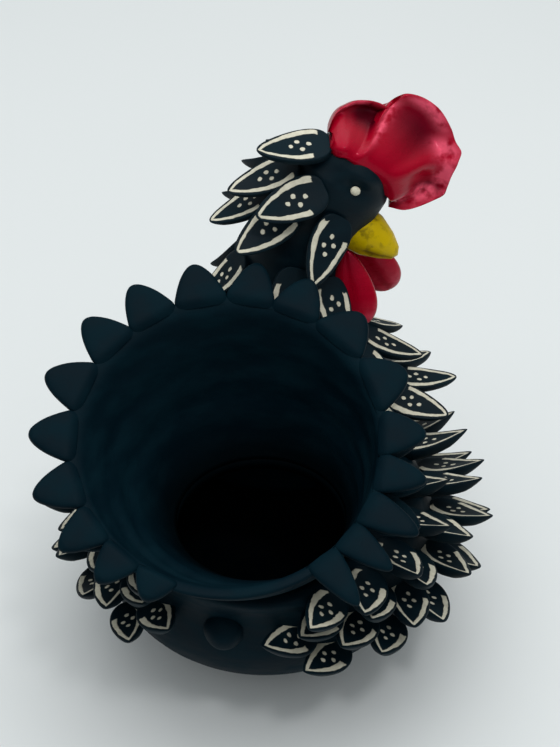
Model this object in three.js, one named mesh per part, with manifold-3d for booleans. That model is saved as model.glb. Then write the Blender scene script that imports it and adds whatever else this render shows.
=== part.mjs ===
// Hollow ceramic hen pot: squat pot body, flared funnel tail ringed with leaves,
// neck with turned head, comb, beak, wattles and rows of clay feathers.
// Millimetres, +Z up. The origin is the centre of the flat foot. The hen faces +Y,
// its funnel tail opens towards -Y and up, and its head is turned to +X.

import * as THREE from 'three';
import { mergeVertices } from 'three/addons/utils/BufferGeometryUtils.js';
import Module from 'manifold-3d';

const wasm = await Module();
wasm.setup();

// Driving dimensions

// Clay and joints
const seatGap = 0.3;
const rootDepth = 4;

// Pot body
const footRadius = 24;
const footThickness = 6;
const bellyRadius = 63;
const bellyHeight = 48;
const rimHeight = 80;
const potWall = 4.5;
const throatRadius = 29;
const throatSideways = -1.5;
const throatBack = 30;
const ventRadius = 3;

// Funnel tail
const mouthTilt = THREE.MathUtils.degToRad(26);
const mouthSideways = -12;
const mouthRadius = 49;
// The lip's side towards the neck: how far it lies before the foot's axis, and how
// high it stands over the rim of the pot.
const mouthFront = 13;
const lipRise = 59.5;
const mouthBack = mouthRadius * Math.cos(mouthTilt) - mouthFront;
const mouthHeight = rimHeight + lipRise - mouthRadius * Math.sin(mouthTilt);
const collarWall = 4;

// Plain leaves of the funnel tail
const petalLength = 16.5;
const petalThickness = 4;
const petalKeel = 3.5;
const petalGap = 0.9;
const petalDrop = 0.6;
const petalDip = 1.8;
const petalCurl = 2;
const underLeafDepth = 1;
const underLeafLength = 17;
const underLeafWidth = 14;

// Neck and head
const neckSideways = 5;
const neckForward = 43;
const neckRootShare = 0.5;
const neckRootHeight = neckRootShare * rimHeight;
const neckHeight = 140;
const neckLean = 32;
const neckDepth = 11;
const neckRadius = 19;
const neckWall = 5;

// Comb, beak, wattles and eyes
const combLength = 34;
const combThickness = 4;
const combCup = 4;
const beakLength = 15;
const beakRadius = 8;
const wattleLength = 33;
const wattleWidth = 18;
const wattleThickness = 8;
const eyeRadius = 1.8;
const eyeRise = 1.1;

// Painted feathers of body and neck
const featherLength = 27;
const featherWidth = 16;
const featherCrown = 1.2;
const featherRowShare = 0.33;
const featherRowGap = 3.5;
const featherKeel = featherRowShare * (rimHeight - bellyHeight) - featherRowGap;
const featherLift = featherKeel;
const neckFeatherLength = 26;
const neckFeatherWidth = 15;
const neckFeatherKeel = 6;
const neckFeatherLift = 4;
const featherSeat = 0.8;
const bandRadius = 2.4;

// Round lump on the pot's back
const knobRadius = 5.8;

// Where the tail side of the pot lies: the bare stripe between the feather fields
const tailTurn = THREE.MathUtils.degToRad(-13);

// Finishes

const blackClay = { color: 0x17191d, roughness: 0.78, metalness: 0 };
const redGlaze = { color: 0xb00f22, roughness: 0.24, metalness: 0 };
const yellowGlaze = { color: 0xc9a512, roughness: 0.5, metalness: 0 };
const creamSlip = { color: 0xe6dfc2, roughness: 0.7, metalness: 0 };

const hen = new THREE.Group();

// Solids

// Geometry left with its positions alone, its shared vertices merged.
function merged(geometry) {
  const bare = geometry.clone();
  bare.deleteAttribute('normal');
  bare.deleteAttribute('uv');
  return mergeVertices(bare);
}

// Closed solid from a geometry whose shared vertices are merged.
function toSolid(geometry) {
  return new wasm.Manifold(new wasm.Mesh({
    numProp: 3,
    vertProperties: new Float32Array(geometry.attributes.position.array),
    triVerts: new Uint32Array(geometry.index.array),
  }));
}

// Geometry of a closed solid, with one normal to each face.
function toGeometry(solid) {
  const mesh = solid.getMesh();
  const geometry = new THREE.BufferGeometry();
  geometry.setAttribute('position', new THREE.BufferAttribute(mesh.vertProperties, 3));
  geometry.setIndex(new THREE.BufferAttribute(mesh.triVerts, 1));
  geometry.computeVertexNormals();
  return geometry;
}

// The largest connected body of a solid: a cut may leave crumbs beside it.
function largestBody(solid) {
  const bodies = solid.decompose();
  return bodies.reduce((best, body) => (body.volume() > best.volume() ? body : best));
}

// Middle point of a ring of points.
function middleOf(ring) {
  return ring.reduce((sum, point) => sum.add(point), new THREE.Vector3())
    .divideScalar(ring.length);
}

// Closed skin over a row of rings with one end point at each end.
function skinned(startPoint, rings, endPoint) {
  const sides = rings[0].length;
  const positions = [startPoint, ...rings.flat(), endPoint].flatMap((point) => point.toArray());
  const last = rings.length * sides + 1;
  const index = [];
  for (let side = 0; side < sides; side += 1) {
    const next = (side + 1) % sides;
    index.push(0, 1 + next, 1 + side);
    for (let ring = 0; ring + 1 < rings.length; ring += 1) {
      const here = 1 + ring * sides;
      const there = here + sides;
      index.push(here + side, here + next, there + next);
      index.push(here + side, there + next, there + side);
    }
    const top = last - sides;
    index.push(top + side, top + next, last);
  }
  const geometry = new THREE.BufferGeometry();
  geometry.setAttribute('position', new THREE.Float32BufferAttribute(positions, 3));
  geometry.setIndex(index);
  return facingOut(geometry);
}

// Closed skin over rings that run round and meet again, as on a ring of wall.
function skinnedRound(rings) {
  const sides = rings[0].length;
  const positions = rings.flat().flatMap((point) => point.toArray());
  const index = [];
  for (let ring = 0; ring < rings.length; ring += 1) {
    const here = ring * sides;
    const there = ((ring + 1) % rings.length) * sides;
    for (let side = 0; side < sides; side += 1) {
      const next = (side + 1) % sides;
      index.push(here + side, here + next, there + next);
      index.push(here + side, there + next, there + side);
    }
  }
  const geometry = new THREE.BufferGeometry();
  geometry.setAttribute('position', new THREE.Float32BufferAttribute(positions, 3));
  geometry.setIndex(index);
  return facingOut(geometry);
}

// Turns a closed skin so that its faces point out.
function facingOut(geometry) {
  const index = geometry.index.array;
  const position = geometry.attributes.position;
  const corner = [new THREE.Vector3(), new THREE.Vector3(), new THREE.Vector3()];
  let volume = 0;
  for (let start = 0; start < index.length; start += 3) {
    corner.forEach((point, place) => point.fromBufferAttribute(position, index[start + place]));
    volume += corner[0].dot(corner[1].clone().cross(corner[2]));
  }
  if (volume < 0) {
    for (let start = 0; start < index.length; start += 3) {
      const kept = index[start];
      index[start] = index[start + 1];
      index[start + 1] = kept;
    }
  }
  return geometry;
}

// Frame whose Z axis is out, whose Y axis is along, and whose origin is at place.
function frameAt(place, along, out) {
  const side = new THREE.Vector3().crossVectors(along, out).normalize();
  const upright = new THREE.Vector3().crossVectors(side, along).normalize();
  const frame = new THREE.Matrix4().makeBasis(side, along.clone().normalize(), upright);
  return frame.setPosition(place);
}

// Named piece: a geometry given in the part's frame, stored in its own frame.
function addPiece(name, geometry, finish, frame = new THREE.Matrix4()) {
  const local = geometry.clone().applyMatrix4(frame.clone().invert());
  local.computeVertexNormals();
  const mesh = new THREE.Mesh(local, new THREE.MeshStandardMaterial(finish));
  mesh.name = name;
  mesh.applyMatrix4(frame);
  hen.add(mesh);
}

// Pot body

// Exponent of the slide towards the throat: a high one keeps the breast full.
const shoulderEase = 3;
// Exponent of the swell from foot to belly: a high one keeps the foot narrow.
const footEase = 1.8;
const potTurns = 32;
const potSteps = 5;
const ventSides = 10;

// How far the throat side of the pot has moved off the foot's axis at a height.
function throatShift(height) {
  const share = THREE.MathUtils.clamp((height - bellyHeight) / (rimHeight - bellyHeight), 0, 1);
  return share ** shoulderEase;
}

// Point on the pot's outer skin. level 0 is the foot, 1 the belly and 2 the rim;
// turn is measured from the back (-Y) towards +X; swell moves the skin outwards.
function potPoint(turn, level, swell = 0) {
  const arc = (level < 1 ? level : level - 1) * Math.PI / 2;
  const rimRadius = throatRadius + potWall;
  const radius = level < 1
    ? footRadius + (bellyRadius - footRadius) * Math.sin(arc) ** footEase
    : rimRadius + (bellyRadius - rimRadius) * Math.cos(arc);
  const height = level < 1
    ? bellyHeight * (1 - Math.cos(arc))
    : bellyHeight + (rimHeight - bellyHeight) * Math.sin(arc);
  const shift = throatShift(height);
  return new THREE.Vector3(
    throatSideways * shift + (radius + swell) * Math.sin(turn),
    -throatBack * shift - (radius + swell) * Math.cos(turn),
    height,
  );
}

// Ring of the pot's skin at a level, moved out by swell and set to a height.
function potRing(level, swell, height) {
  const ring = [];
  for (let place = 0; place < potTurns; place += 1) {
    ring.push(potPoint(place / potTurns * 2 * Math.PI, level, swell).setZ(height));
  }
  return ring;
}

// Levels of the pot's rings, from the foot to the rim.
const potLevels = Array.from({ length: 2 * potSteps + 1 }, (_, step) => step / potSteps);

// The pot's full outer form without its hollow, for cutting what sits on it.
function potForm(swell) {
  const rings = potLevels.map((level) => (
    potRing(level, swell, potPoint(0, level).z + swell * (level - 1))
  ));
  return toSolid(skinned(middleOf(rings[0]), rings, middleOf(rings[2 * potSteps])));
}

// Height of the pot's inner skin beside a height of its outer skin.
function innerHeight(height) {
  return height < bellyHeight
    ? THREE.MathUtils.mapLinear(height, 0, bellyHeight, footThickness, bellyHeight)
    : THREE.MathUtils.mapLinear(height, bellyHeight, rimHeight, bellyHeight, rimHeight - potWall);
}

// Thick-walled pot with its open throat and the small kiln vent under the neck.
function addPot() {
  const outer = potLevels.map((level) => potRing(level, 0, potPoint(0, level).z));
  const lip = potRing(2, -potWall, rimHeight);
  const inner = potLevels.map((level) => (
    potRing(level, -potWall, innerHeight(potPoint(0, level).z))
  ));
  const rings = [...outer, lip, ...inner.reverse()];
  const floor = new THREE.Vector3(0, 0, footThickness);
  const pot = toSolid(skinned(new THREE.Vector3(0, 0, 0), rings, floor));
  const vent = merged(new THREE.CylinderGeometry(ventRadius, ventRadius, rimHeight, ventSides));
  vent.rotateX(Math.PI / 2);
  vent.translate(neckSideways, neckForward, rimHeight);
  addPiece('pot_body', toGeometry(pot.subtract(toSolid(vent))), blackClay);
}

// Funnel tail

const collarTurns = 32;
const collarSteps = 5;
// Exponent of the funnel's opening: near one, so the side is almost straight.
const collarFlare = 0.9;

// Point on the funnel. rise 0 is the throat and 1 the lip; turn starts at +X and
// runs over the far side; spread moves the point outwards from the inner skin.
function funnelPoint(turn, rise, spread) {
  const foot = rimHeight + seatGap;
  const centre = new THREE.Vector3(
    THREE.MathUtils.lerp(throatSideways, mouthSideways, rise),
    -THREE.MathUtils.lerp(throatBack, mouthBack, rise),
    THREE.MathUtils.lerp(foot, mouthHeight, rise),
  );
  const radius = throatRadius + (mouthRadius - throatRadius) * rise ** collarFlare + spread;
  const tilt = mouthTilt * THREE.MathUtils.smoothstep(rise, 0, 1);
  const across = radius * Math.sin(turn);
  return centre.add(new THREE.Vector3(
    radius * Math.cos(turn),
    across * Math.cos(tilt),
    across * Math.sin(tilt),
  ));
}

// One slice of the funnel's wall: up the inner skin, over the lip, down the outside.
function funnelSlice(turn) {
  const slice = [];
  for (let step = 0; step <= collarSteps; step += 1) {
    slice.push(funnelPoint(turn, step / collarSteps, 0));
  }
  for (let step = collarSteps; step >= 0; step -= 1) {
    slice.push(funnelPoint(turn, step / collarSteps, collarWall));
  }
  return slice;
}

function addCollar() {
  const slices = [];
  for (let place = 0; place < collarTurns; place += 1) {
    slices.push(funnelSlice(place / collarTurns * 2 * Math.PI));
  }
  addPiece('tail_collar', skinnedRound(slices), blackClay);
}

const mouthNormal = new THREE.Vector3(0, -Math.sin(mouthTilt), Math.cos(mouthTilt));

// The funnel's full outer form, moved out by swell, for cutting what sits on it.
function funnelForm(swell) {
  const rings = [];
  for (let step = 0; step <= collarSteps; step += 1) {
    const ring = [];
    for (let place = 0; place < collarTurns; place += 1) {
      const turn = place / collarTurns * 2 * Math.PI;
      ring.push(funnelPoint(turn, step / collarSteps, collarWall + swell));
    }
    rings.push(ring);
  }
  rings[collarSteps].forEach((point) => point.addScaledVector(mouthNormal, swell));
  return toSolid(skinned(middleOf(rings[0]), rings, middleOf(rings[collarSteps])));
}

// Leaves

const leafSides = 6;
// Exponents that keep a leaf thick towards its blunt tip.
const leafFullness = 0.6;
const keelFade = 0.35;
// Share of the length over which a leaf's face may dip at its root.
const dipShare = 0.25;

// Leaf in its own frame: the root at the origin, the tip along +Y, the face to +Z.
// outline gives the width's share at each share of the length. The face is nearly
// flat, crown high at its middle, and the back has a keel that fades to the tip.
function leafGeometry(size, outline, stations) {
  const rings = stations.map((share) => {
    const half = size.width / 2 * outline(share);
    const rise = size.lift * share ** 2;
    const full = Math.min(1, 2 * half / (size.crown + size.keel)) ** leafFullness;
    const dip = (size.dip ?? 0) * Math.max(0, 1 - share / dipShare) ** 2;
    const ring = [];
    for (let side = 0; side < leafSides; side += 1) {
      const around = side / leafSides * 2 * Math.PI;
      const upper = Math.sin(around) > 0;
      const deep = upper ? size.crown : size.keel * (1 - share) ** keelFade;
      ring.push(new THREE.Vector3(
        half * Math.cos(around),
        size.length * share,
        rise + full * deep * Math.sin(around) - (upper ? dip : 0),
      ));
    }
    return ring;
  });
  const root = new THREE.Vector3(0, 0, 0);
  const tip = new THREE.Vector3(0, size.length, size.lift);
  return skinned(root, rings, tip);
}

// Teardrop: round at the root, widest at a third, with a blunt tip.
const teardropShare = 0.62;
const teardropFullness = 0.6;
const teardropOutline = (share) => Math.sin(Math.PI * share ** teardropShare) ** teardropFullness;
const teardropStationShares = [0.03, 0.2, 0.55, 0.82, 0.95];

// Petal: full width at its root, then narrower and round at its blunt tip.
const petalRootShare = 0.22;
const petalTipShare = 0.5;
const petalRoundness = 5;
const petalStationShares = [0, petalRootShare, 0.6, 0.85, 0.96];

function petalOutline(share) {
  const free = Math.max(0, (share - petalRootShare) / (1 - petalRootShare));
  return THREE.MathUtils.lerp(1, petalTipShare, free) * Math.sqrt(1 - free ** petalRoundness);
}

// Places a leaf in a frame and cuts its root to the form that carries it.
function addLeaf(name, geometry, frame, carrier) {
  const placed = geometry.clone().applyMatrix4(frame);
  const cut = largestBody(toSolid(placed).subtract(carrier));
  addPiece(name, toGeometry(cut), blackClay, frame);
}

// Leaves of the funnel's lip: the turn of each tip, from +X over the far side in
// degrees, and its share of the full length.
const petals = [
  [-53, 1.2], [-40.5, 1.15], [-28, 1.2], [-13, 1], [1, 0.95], [21.5, 0.9], [45, 0.9],
  [65, 0.95], [82, 1], [101, 1], [121, 1], [139, 1], [159, 0.98], [179, 0.97],
  [198, 0.97], [215, 0.92], [230, 0.8], [245, 0.6],
].map(([turn, lengthShare]) => ({ turn: THREE.MathUtils.degToRad(turn), lengthShare }));

// Turn of the seam before a leaf of the lip. The first and the last seam lie as far
// from their leaf's tip as the seam on its other side.
function petalSeam(place) {
  if (place === 0) {
    return 2 * petals[0].turn - petalSeam(1);
  }
  if (place === petals.length) {
    return 2 * petals[place - 1].turn - petalSeam(place - 1);
  }
  return (petals[place - 1].turn + petals[place].turn) / 2;
}

// How much the leaves of the tail rise out of the plane of the mouth.
const petalRiseShare = 0.16;

// Frame of a tail leaf whose root lies at a point of the funnel.
function tailLeafFrame(root, centre) {
  const outward = root.clone().sub(centre).normalize();
  return frameAt(root, outward.addScaledVector(mouthNormal, petalRiseShare), mouthNormal);
}

function addPetals(carrier) {
  const lipRadius = mouthRadius + collarWall;
  petals.forEach(({ turn, lengthShare }, place) => {
    const low = petalSeam(place);
    const high = petalSeam(place + 1);
    const size = {
      length: petalLength * lengthShare,
      width: lipRadius * (high - low) - petalGap,
      crown: petalThickness / 2,
      keel: petalKeel,
      lift: -petalCurl,
      dip: petalDip,
    };
    const root = funnelPoint((low + high) / 2, 1, collarWall - rootDepth);
    const along = funnelPoint(turn, 1, petalLength).sub(root).normalize();
    along.addScaledVector(mouthNormal, petalRiseShare);
    const frame = frameAt(root.addScaledVector(mouthNormal, -petalDrop), along, mouthNormal);
    const name = `tail_petal_${String(place + 1).padStart(2, '0')}`;
    addLeaf(name, leafGeometry(size, petalOutline, petalStationShares), frame, carrier);
  });
}

// Plain leaves of the second layer, on the funnel's outside below the lip.
const underLeafTurns = [-19, -3, 13, 189, 206].map(THREE.MathUtils.degToRad);
const underLeafRise = 0.6;

function addUnderLeaves(carrier) {
  const size = {
    length: underLeafLength,
    width: underLeafWidth,
    crown: petalThickness / 2,
    keel: petalKeel,
    lift: -petalCurl,
  };
  const leaf = leafGeometry(size, teardropOutline, teardropStationShares);
  underLeafTurns.forEach((turn, place) => {
    const root = funnelPoint(turn, underLeafRise, collarWall - underLeafDepth);
    const across = funnelPoint(turn + Math.PI, underLeafRise, collarWall - underLeafDepth);
    const frame = tailLeafFrame(root, root.clone().lerp(across, 0.5));
    addLeaf(`under_leaf_${place + 1}`, leaf, frame, carrier);
  });
}

// Neck and head

const neckSides = 18;
const neckSteps = 14;
const neckHollowSteps = 11;

// Centre line of neck and head as shares of lean, depth and height, with shares of
// the neck's radius in the plane of the lean and across it.
const neckShares = [
  { lean: 0, depth: 0, rise: 0, wide: 1.9, thick: 1.1 },
  { lean: 0.03, depth: 0.2, rise: 0.26, wide: 2.35, thick: 1.2 },
  { lean: 0.09, depth: 0.5, rise: 0.45, wide: 1.42, thick: 1.08 },
  { lean: 0.14, depth: 0.78, rise: 0.6, wide: 1.05, thick: 0.96 },
  { lean: 0.2, depth: 0.95, rise: 0.715, wide: 0.94, thick: 0.9 },
  { lean: 0.47, depth: 1, rise: 0.82, wide: 1.0, thick: 0.82 },
  { lean: 0.72, depth: 1, rise: 0.905, wide: 0.94, thick: 0.77 },
  { lean: 0.87, depth: 0.97, rise: 0.965, wide: 0.66, thick: 0.56 },
  { lean: 0.98, depth: 0.93, rise: 1, wide: 0.2, thick: 0.18 },
];

const neckLine = new THREE.CatmullRomCurve3(neckShares.map((share) => new THREE.Vector3(
  neckSideways + neckLean * share.lean,
  neckForward + neckDepth * share.depth,
  neckRootHeight + neckHeight * share.rise,
)));

// Value of one share of the neck's table at a place along the line, from 0 to 1.
function neckShare(key, along) {
  const place = along * (neckShares.length - 1);
  const low = Math.min(Math.floor(place), neckShares.length - 2);
  return THREE.MathUtils.lerp(neckShares[low][key], neckShares[low + 1][key], place - low);
}

// Point on the neck's skin. turn 0 faces -Y, a quarter turn faces the beak side.
function neckPoint(turn, along, swell = 0) {
  const centre = neckLine.getPoint(along);
  const heading = neckLine.getTangent(along);
  const across = new THREE.Vector3(0, -1, 0);
  const front = new THREE.Vector3().crossVectors(heading, across).normalize();
  const wide = neckRadius * neckShare('wide', along) + swell;
  const thick = neckRadius * neckShare('thick', along) + swell;
  return centre
    .addScaledVector(across, thick * Math.cos(turn))
    .addScaledVector(front, wide * Math.sin(turn));
}

// Neck form from its root to the crown, moved out by swell.
function neckForm(swell, lastStep = neckSteps) {
  const rings = [];
  for (let step = 0; step <= lastStep; step += 1) {
    const ring = [];
    for (let side = 0; side < neckSides; side += 1) {
      ring.push(neckPoint(side / neckSides * 2 * Math.PI, step / neckSteps, swell));
    }
    rings.push(ring);
  }
  const low = neckLine.getPoint(0);
  const high = neckLine.getPoint(lastStep / neckSteps)
    .addScaledVector(neckLine.getTangent(lastStep / neckSteps), Math.max(0, swell));
  return toSolid(skinned(low, rings, high));
}

// Hollow neck with a solid head, cut to the pot below it.
function addNeck(carrier) {
  const shell = neckForm(0).subtract(neckForm(-neckWall, neckHollowSteps)).subtract(carrier);
  addPiece('neck_and_head', toGeometry(largestBody(shell)), blackClay);
}

// Frame on a skin. aim turns the direction on the skin from round it to up it, tilt
// lifts it off the skin, roll leans its face upwards and depth sinks its origin.
const slopeStep = 0.01;

function skinFrame(skin, turn, level, { aim = 0, tilt = 0, roll = 0, depth = 0 } = {}) {
  const place = skin(turn, level);
  const round = skin(turn + slopeStep, level).sub(skin(turn - slopeStep, level)).normalize();
  const upward = skin(turn, level + slopeStep).sub(skin(turn, level - slopeStep)).normalize();
  const out = new THREE.Vector3().crossVectors(round, upward).normalize();
  if (out.dot(skin(turn, level, 1).sub(place)) < 0) out.negate();
  const flow = round.multiplyScalar(Math.cos(aim)).addScaledVector(upward, Math.sin(aim)).normalize();
  const along = flow.multiplyScalar(Math.cos(tilt)).addScaledVector(out, Math.sin(tilt));
  const face = out.clone().multiplyScalar(Math.cos(roll)).addScaledVector(upward, Math.sin(roll));
  return frameAt(place.addScaledVector(out, -depth), along, face);
}

// Band of clay that joins the roots of a row of leaves.
const bandLeadShare = 0.1;
const bandSides = 5;

function bandSolid(frames) {
  const points = frames.map((frame) => (
    new THREE.Vector3(0, featherLength * bandLeadShare, 0).applyMatrix4(frame)
  ));
  const corners = new THREE.EllipseCurve(0, 0, bandRadius, bandRadius).getPoints(bandSides);
  return toSolid(merged(new THREE.ExtrudeGeometry(new THREE.Shape(corners.slice(0, bandSides)), {
    steps: frames.length - 1,
    extrudePath: new THREE.CatmullRomCurve3(points),
    bevelEnabled: false,
  })));
}

// Row of leaves in their frames, joined by a band and cut to the form under them.
function addLeafRow(name, frames, leaf, carrier) {
  const row = frames.reduce(
    (sum, frame) => sum.add(toSolid(leaf.clone().applyMatrix4(frame))),
    bandSolid(frames),
  );
  addPiece(name, toGeometry(largestBody(row.subtract(carrier))), blackClay);
}

// Feathers of the neck: turn round the neck, share of its length, and the aim of
// the tip, from the turning direction towards the crown. The face is at +90.
const neckFeathers = [
  { turn: -70, along: 0.87, aim: -90 },
  { turn: -72, along: 0.715, aim: -90 },
  { turn: -78, along: 0.61, aim: -90 },
  { turn: -72, along: 0.48, aim: -90 },
  { turn: -116, along: 0.8, aim: -90 },
  { turn: -126, along: 0.7, aim: -90 },
  { turn: -126, along: 0.58, aim: -90 },
  { turn: -126, along: 0.45, aim: -90 },
  { turn: -24, along: 0.73, aim: -120 },
  { turn: -36, along: 0.625, aim: -102 },
  { turn: 9, along: 0.68, aim: -90 },
  { turn: 2, along: 0.49, aim: -95 },
  { turn: 36, along: 0.45, aim: -90 },
  { turn: -176, along: 0.73, aim: -50 },
  { turn: -170, along: 0.57, aim: -60 },
  { turn: 152, along: 0.66, aim: -70 },
  { turn: 130, along: 0.49, aim: -90 },
];
const neckFeatherTilt = THREE.MathUtils.degToRad(25);
const neckFeatherRoll = THREE.MathUtils.degToRad(32);

function neckLeaf() {
  return leafGeometry({
    length: neckFeatherLength,
    width: neckFeatherWidth,
    crown: featherCrown,
    keel: neckFeatherKeel,
    lift: neckFeatherLift,
  }, teardropOutline, teardropStationShares);
}

function addNeckFeathers(carrier) {
  const leaf = neckLeaf();
  neckFeathers.forEach((feather, place) => {
    const frame = skinFrame(neckPoint, THREE.MathUtils.degToRad(feather.turn), feather.along, {
      aim: THREE.MathUtils.degToRad(feather.aim),
      tilt: neckFeatherTilt,
      roll: neckFeatherRoll,
      depth: -featherSeat,
    });
    addLeaf(`neck_feather_${String(place + 1).padStart(2, '0')}`, leaf, frame, carrier);
  });
}

// Ruffs: rows of leaves on the neck's broad foot, on the side the head looks to.
const ruffRows = [
  { name: 'low', along: 0.15, tilt: 46, turns: [46, 70, 93, 116] },
  { name: 'high', along: 0.25, tilt: 36, turns: [30, 58, 88, 118] },
];

function addRuffs(carrier) {
  const leaf = neckLeaf();
  for (const row of ruffRows) {
    const frames = row.turns.map((turn) => (
      skinFrame(neckPoint, THREE.MathUtils.degToRad(turn), row.along, {
        aim: -Math.PI / 2,
        tilt: THREE.MathUtils.degToRad(row.tilt),
        depth: -featherSeat,
      })
    ));
    addLeafRow(`neck_ruff_${row.name}`, frames, leaf, carrier);
  }
}

// Body feathers

// Rows of feathers: level on the pot, first turn from the tail stripe, how many.
const featherRows = [
  { name: 'lower', level: 0.98, first: 39, count: 8 },
  { name: 'middle', level: 1.195, first: 28.5, count: 7 },
  { name: 'upper', level: 1.425, first: 38, count: 6 },
  { name: 'top', level: 1.74, first: 47, count: 5 },
];
const featherStep = 19;
const featherRoll = THREE.MathUtils.degToRad(72);
// The leaves beside the tail stripe lie flatter than those a few steps on.
const tailFeatherTilt = THREE.MathUtils.degToRad(20);
const featherTilt = THREE.MathUtils.degToRad(40);
const tailFeathers = 3;

// Frame of a leaf that points back along a level ring of the pot and outwards, its
// face turned up. mirror is 1 on the right of the tail stripe, -1 on its left.
function ringFrame(turn, level, mirror, tilt) {
  const upright = new THREE.Vector3(0, 0, 1);
  const root = potPoint(turn, level);
  const out = potPoint(turn, level, 1).sub(root).normalize();
  const back = out.clone().cross(upright).multiplyScalar(mirror);
  const flow = back.multiplyScalar(Math.cos(tilt)).addScaledVector(out, Math.sin(tilt));
  const face = out.clone().multiplyScalar(Math.cos(featherRoll))
    .addScaledVector(upright, Math.sin(featherRoll));
  return frameAt(root.addScaledVector(out, featherSeat), flow, face);
}

// One row on one side: mirror is 1 on the right of the tail stripe, -1 on its left.
function addBodyRow(row, mirror, carrier) {
  const leaf = leafGeometry({
    length: featherLength,
    width: featherWidth,
    crown: featherCrown,
    keel: featherKeel,
    lift: featherLift,
  }, teardropOutline, teardropStationShares);
  const frames = [];
  for (let place = 0; place < row.count; place += 1) {
    const turn = tailTurn + mirror * THREE.MathUtils.degToRad(row.first + place * featherStep);
    const far = Math.min(1, place / tailFeathers);
    const tilt = THREE.MathUtils.lerp(tailFeatherTilt, featherTilt, far);
    frames.push(ringFrame(turn, row.level, mirror, tilt));
  }
  addLeafRow(`feather_row_${row.name}_${mirror > 0 ? 'right' : 'left'}`, frames, leaf, carrier);
}

function addBodyFeathers(carrier) {
  for (const row of featherRows) {
    addBodyRow(row, 1, carrier);
    addBodyRow(row, -1, carrier);
  }
}

// Head pieces

// Comb outline in its own frame, as shares of its length: along the crown, away
// from it, and towards the near side.
const combBaseShares = [
  [0.03, -0.06, 0.02], [0.26, 0.06, 0.13], [0.54, 0.1, 0.19], [0.84, 0.05, 0.14],
  [1.04, -0.03, 0.05],
];
const combRimShares = [
  [-0.25, 0.14, -0.04], [-0.16, 0.33, -0.14], [0, 0.43, -0.22], [0.22, 0.46, -0.32],
  [0.23, 0.8, -0.32], [0.55, 0.96, -0.31], [0.91, 0.88, -0.25], [1.11, 0.8, -0.21],
  [1.25, 0.55, -0.06], [1.24, 0.4, 0.04], [1.15, 0.12, 0.07],
];
const combTipShare = 0.6;
const combRootShare = 0.8;
const combStations = 16;
const combOutSteps = 4;
const combCrownAlong = 0.89;
const combBrowAlong = 0.75;

function combCurve(shares) {
  return new THREE.CatmullRomCurve3(shares.map((share) => (
    new THREE.Vector3(...share).multiplyScalar(combLength)
  )));
}

function addComb(carrier) {
  const base = combCurve(combBaseShares);
  const rim = combCurve(combRimShares);
  const rings = [];
  for (let station = 0; station <= combStations; station += 1) {
    const along = station / combStations;
    const low = base.getPoint(along);
    const high = rim.getPoint(along);
    const reach = high.clone().sub(low).normalize();
    low.addScaledVector(reach, -rootDepth);
    const near = [];
    const far = [];
    for (let step = 0; step <= combOutSteps; step += 1) {
      const out = step / combOutSteps;
      const cup = combCup * Math.sin(2 * Math.PI * out);
      const middle = low.clone().lerp(high, out);
      const root = 1 + combRootShare * (1 - out) ** 2;
      const half = combThickness / 2 * (step < combOutSteps ? root : combTipShare);
      near.push(middle.clone().add(new THREE.Vector3(0, 0, cup + half)));
      far.push(middle.clone().add(new THREE.Vector3(0, 0, cup - half)));
    }
    rings.push([...near, ...far.reverse()]);
  }
  const local = skinned(middleOf(rings[0]), rings, middleOf(rings[combStations]));
  const crown = neckPoint(-Math.PI / 2, combCrownAlong);
  const brow = neckPoint(Math.PI / 2, combBrowAlong);
  const chord = brow.clone().sub(crown).normalize();
  const near = chord.clone().cross(new THREE.Vector3(0, 0, 1)).normalize();
  const away = near.clone().cross(chord);
  const frame = new THREE.Matrix4().makeBasis(chord, away, near).setPosition(crown);
  const cut = largestBody(toSolid(local.applyMatrix4(frame)).subtract(carrier));
  addPiece('comb', toGeometry(cut), redGlaze, frame);
}

// Beak: a blunt cone whose base is buried in the face.
const beakAlong = 0.62;
const beakTurn = THREE.MathUtils.degToRad(78);
const beakDroopShare = 0.5;
const beakNearShare = 0.35;
const beakSides = 12;
// Shares of the beak's radius and length, from its base to its tip.
const beakShares = [[0, 0], [1, 0], [0.93, 0.35], [0.62, 0.7], [0.3, 0.93], [0, 1]];

function addBeak(carrier) {
  const root = neckPoint(beakTurn, beakAlong);
  const along = new THREE.Vector3(1, -beakNearShare, -beakDroopShare).normalize();
  const frame = frameAt(root.addScaledVector(along, -rootDepth), along, new THREE.Vector3(0, 0, 1));
  const length = beakLength + rootDepth;
  const profile = beakShares.map(([wide, far]) => new THREE.Vector2(beakRadius * wide, length * far));
  const cone = merged(new THREE.LatheGeometry(profile, beakSides));
  const solid = toSolid(facingOut(cone).applyMatrix4(frame));
  addPiece('beak', toGeometry(largestBody(solid.subtract(carrier))), yellowGlaze, frame);
}

// Wattle: a flat drop that hangs from the chin, heavier at its lower end.
const wattleTopShare = 0.55;
const wattleSides = 10;
const wattleSteps = 8;

function wattleSolid(frame) {
  const drop = merged(new THREE.SphereGeometry(1, wattleSides, wattleSteps));
  const position = drop.attributes.position;
  for (let place = 0; place < position.count; place += 1) {
    const down = (1 + position.getY(place)) / 2;
    const swell = THREE.MathUtils.lerp(wattleTopShare, 1, down);
    position.setXYZ(
      place,
      position.getX(place) * swell * wattleWidth / 2,
      down * wattleLength,
      position.getZ(place) * swell * wattleThickness / 2,
    );
  }
  return toSolid(drop.applyMatrix4(frame));
}

const wattles = [
  { name: 'wattle_near', turn: 60, along: 0.565, outShare: 0.28, nearShare: 0.3 },
  { name: 'wattle_far', turn: 106, along: 0.57, outShare: 0.6, nearShare: -0.12 },
];

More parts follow.
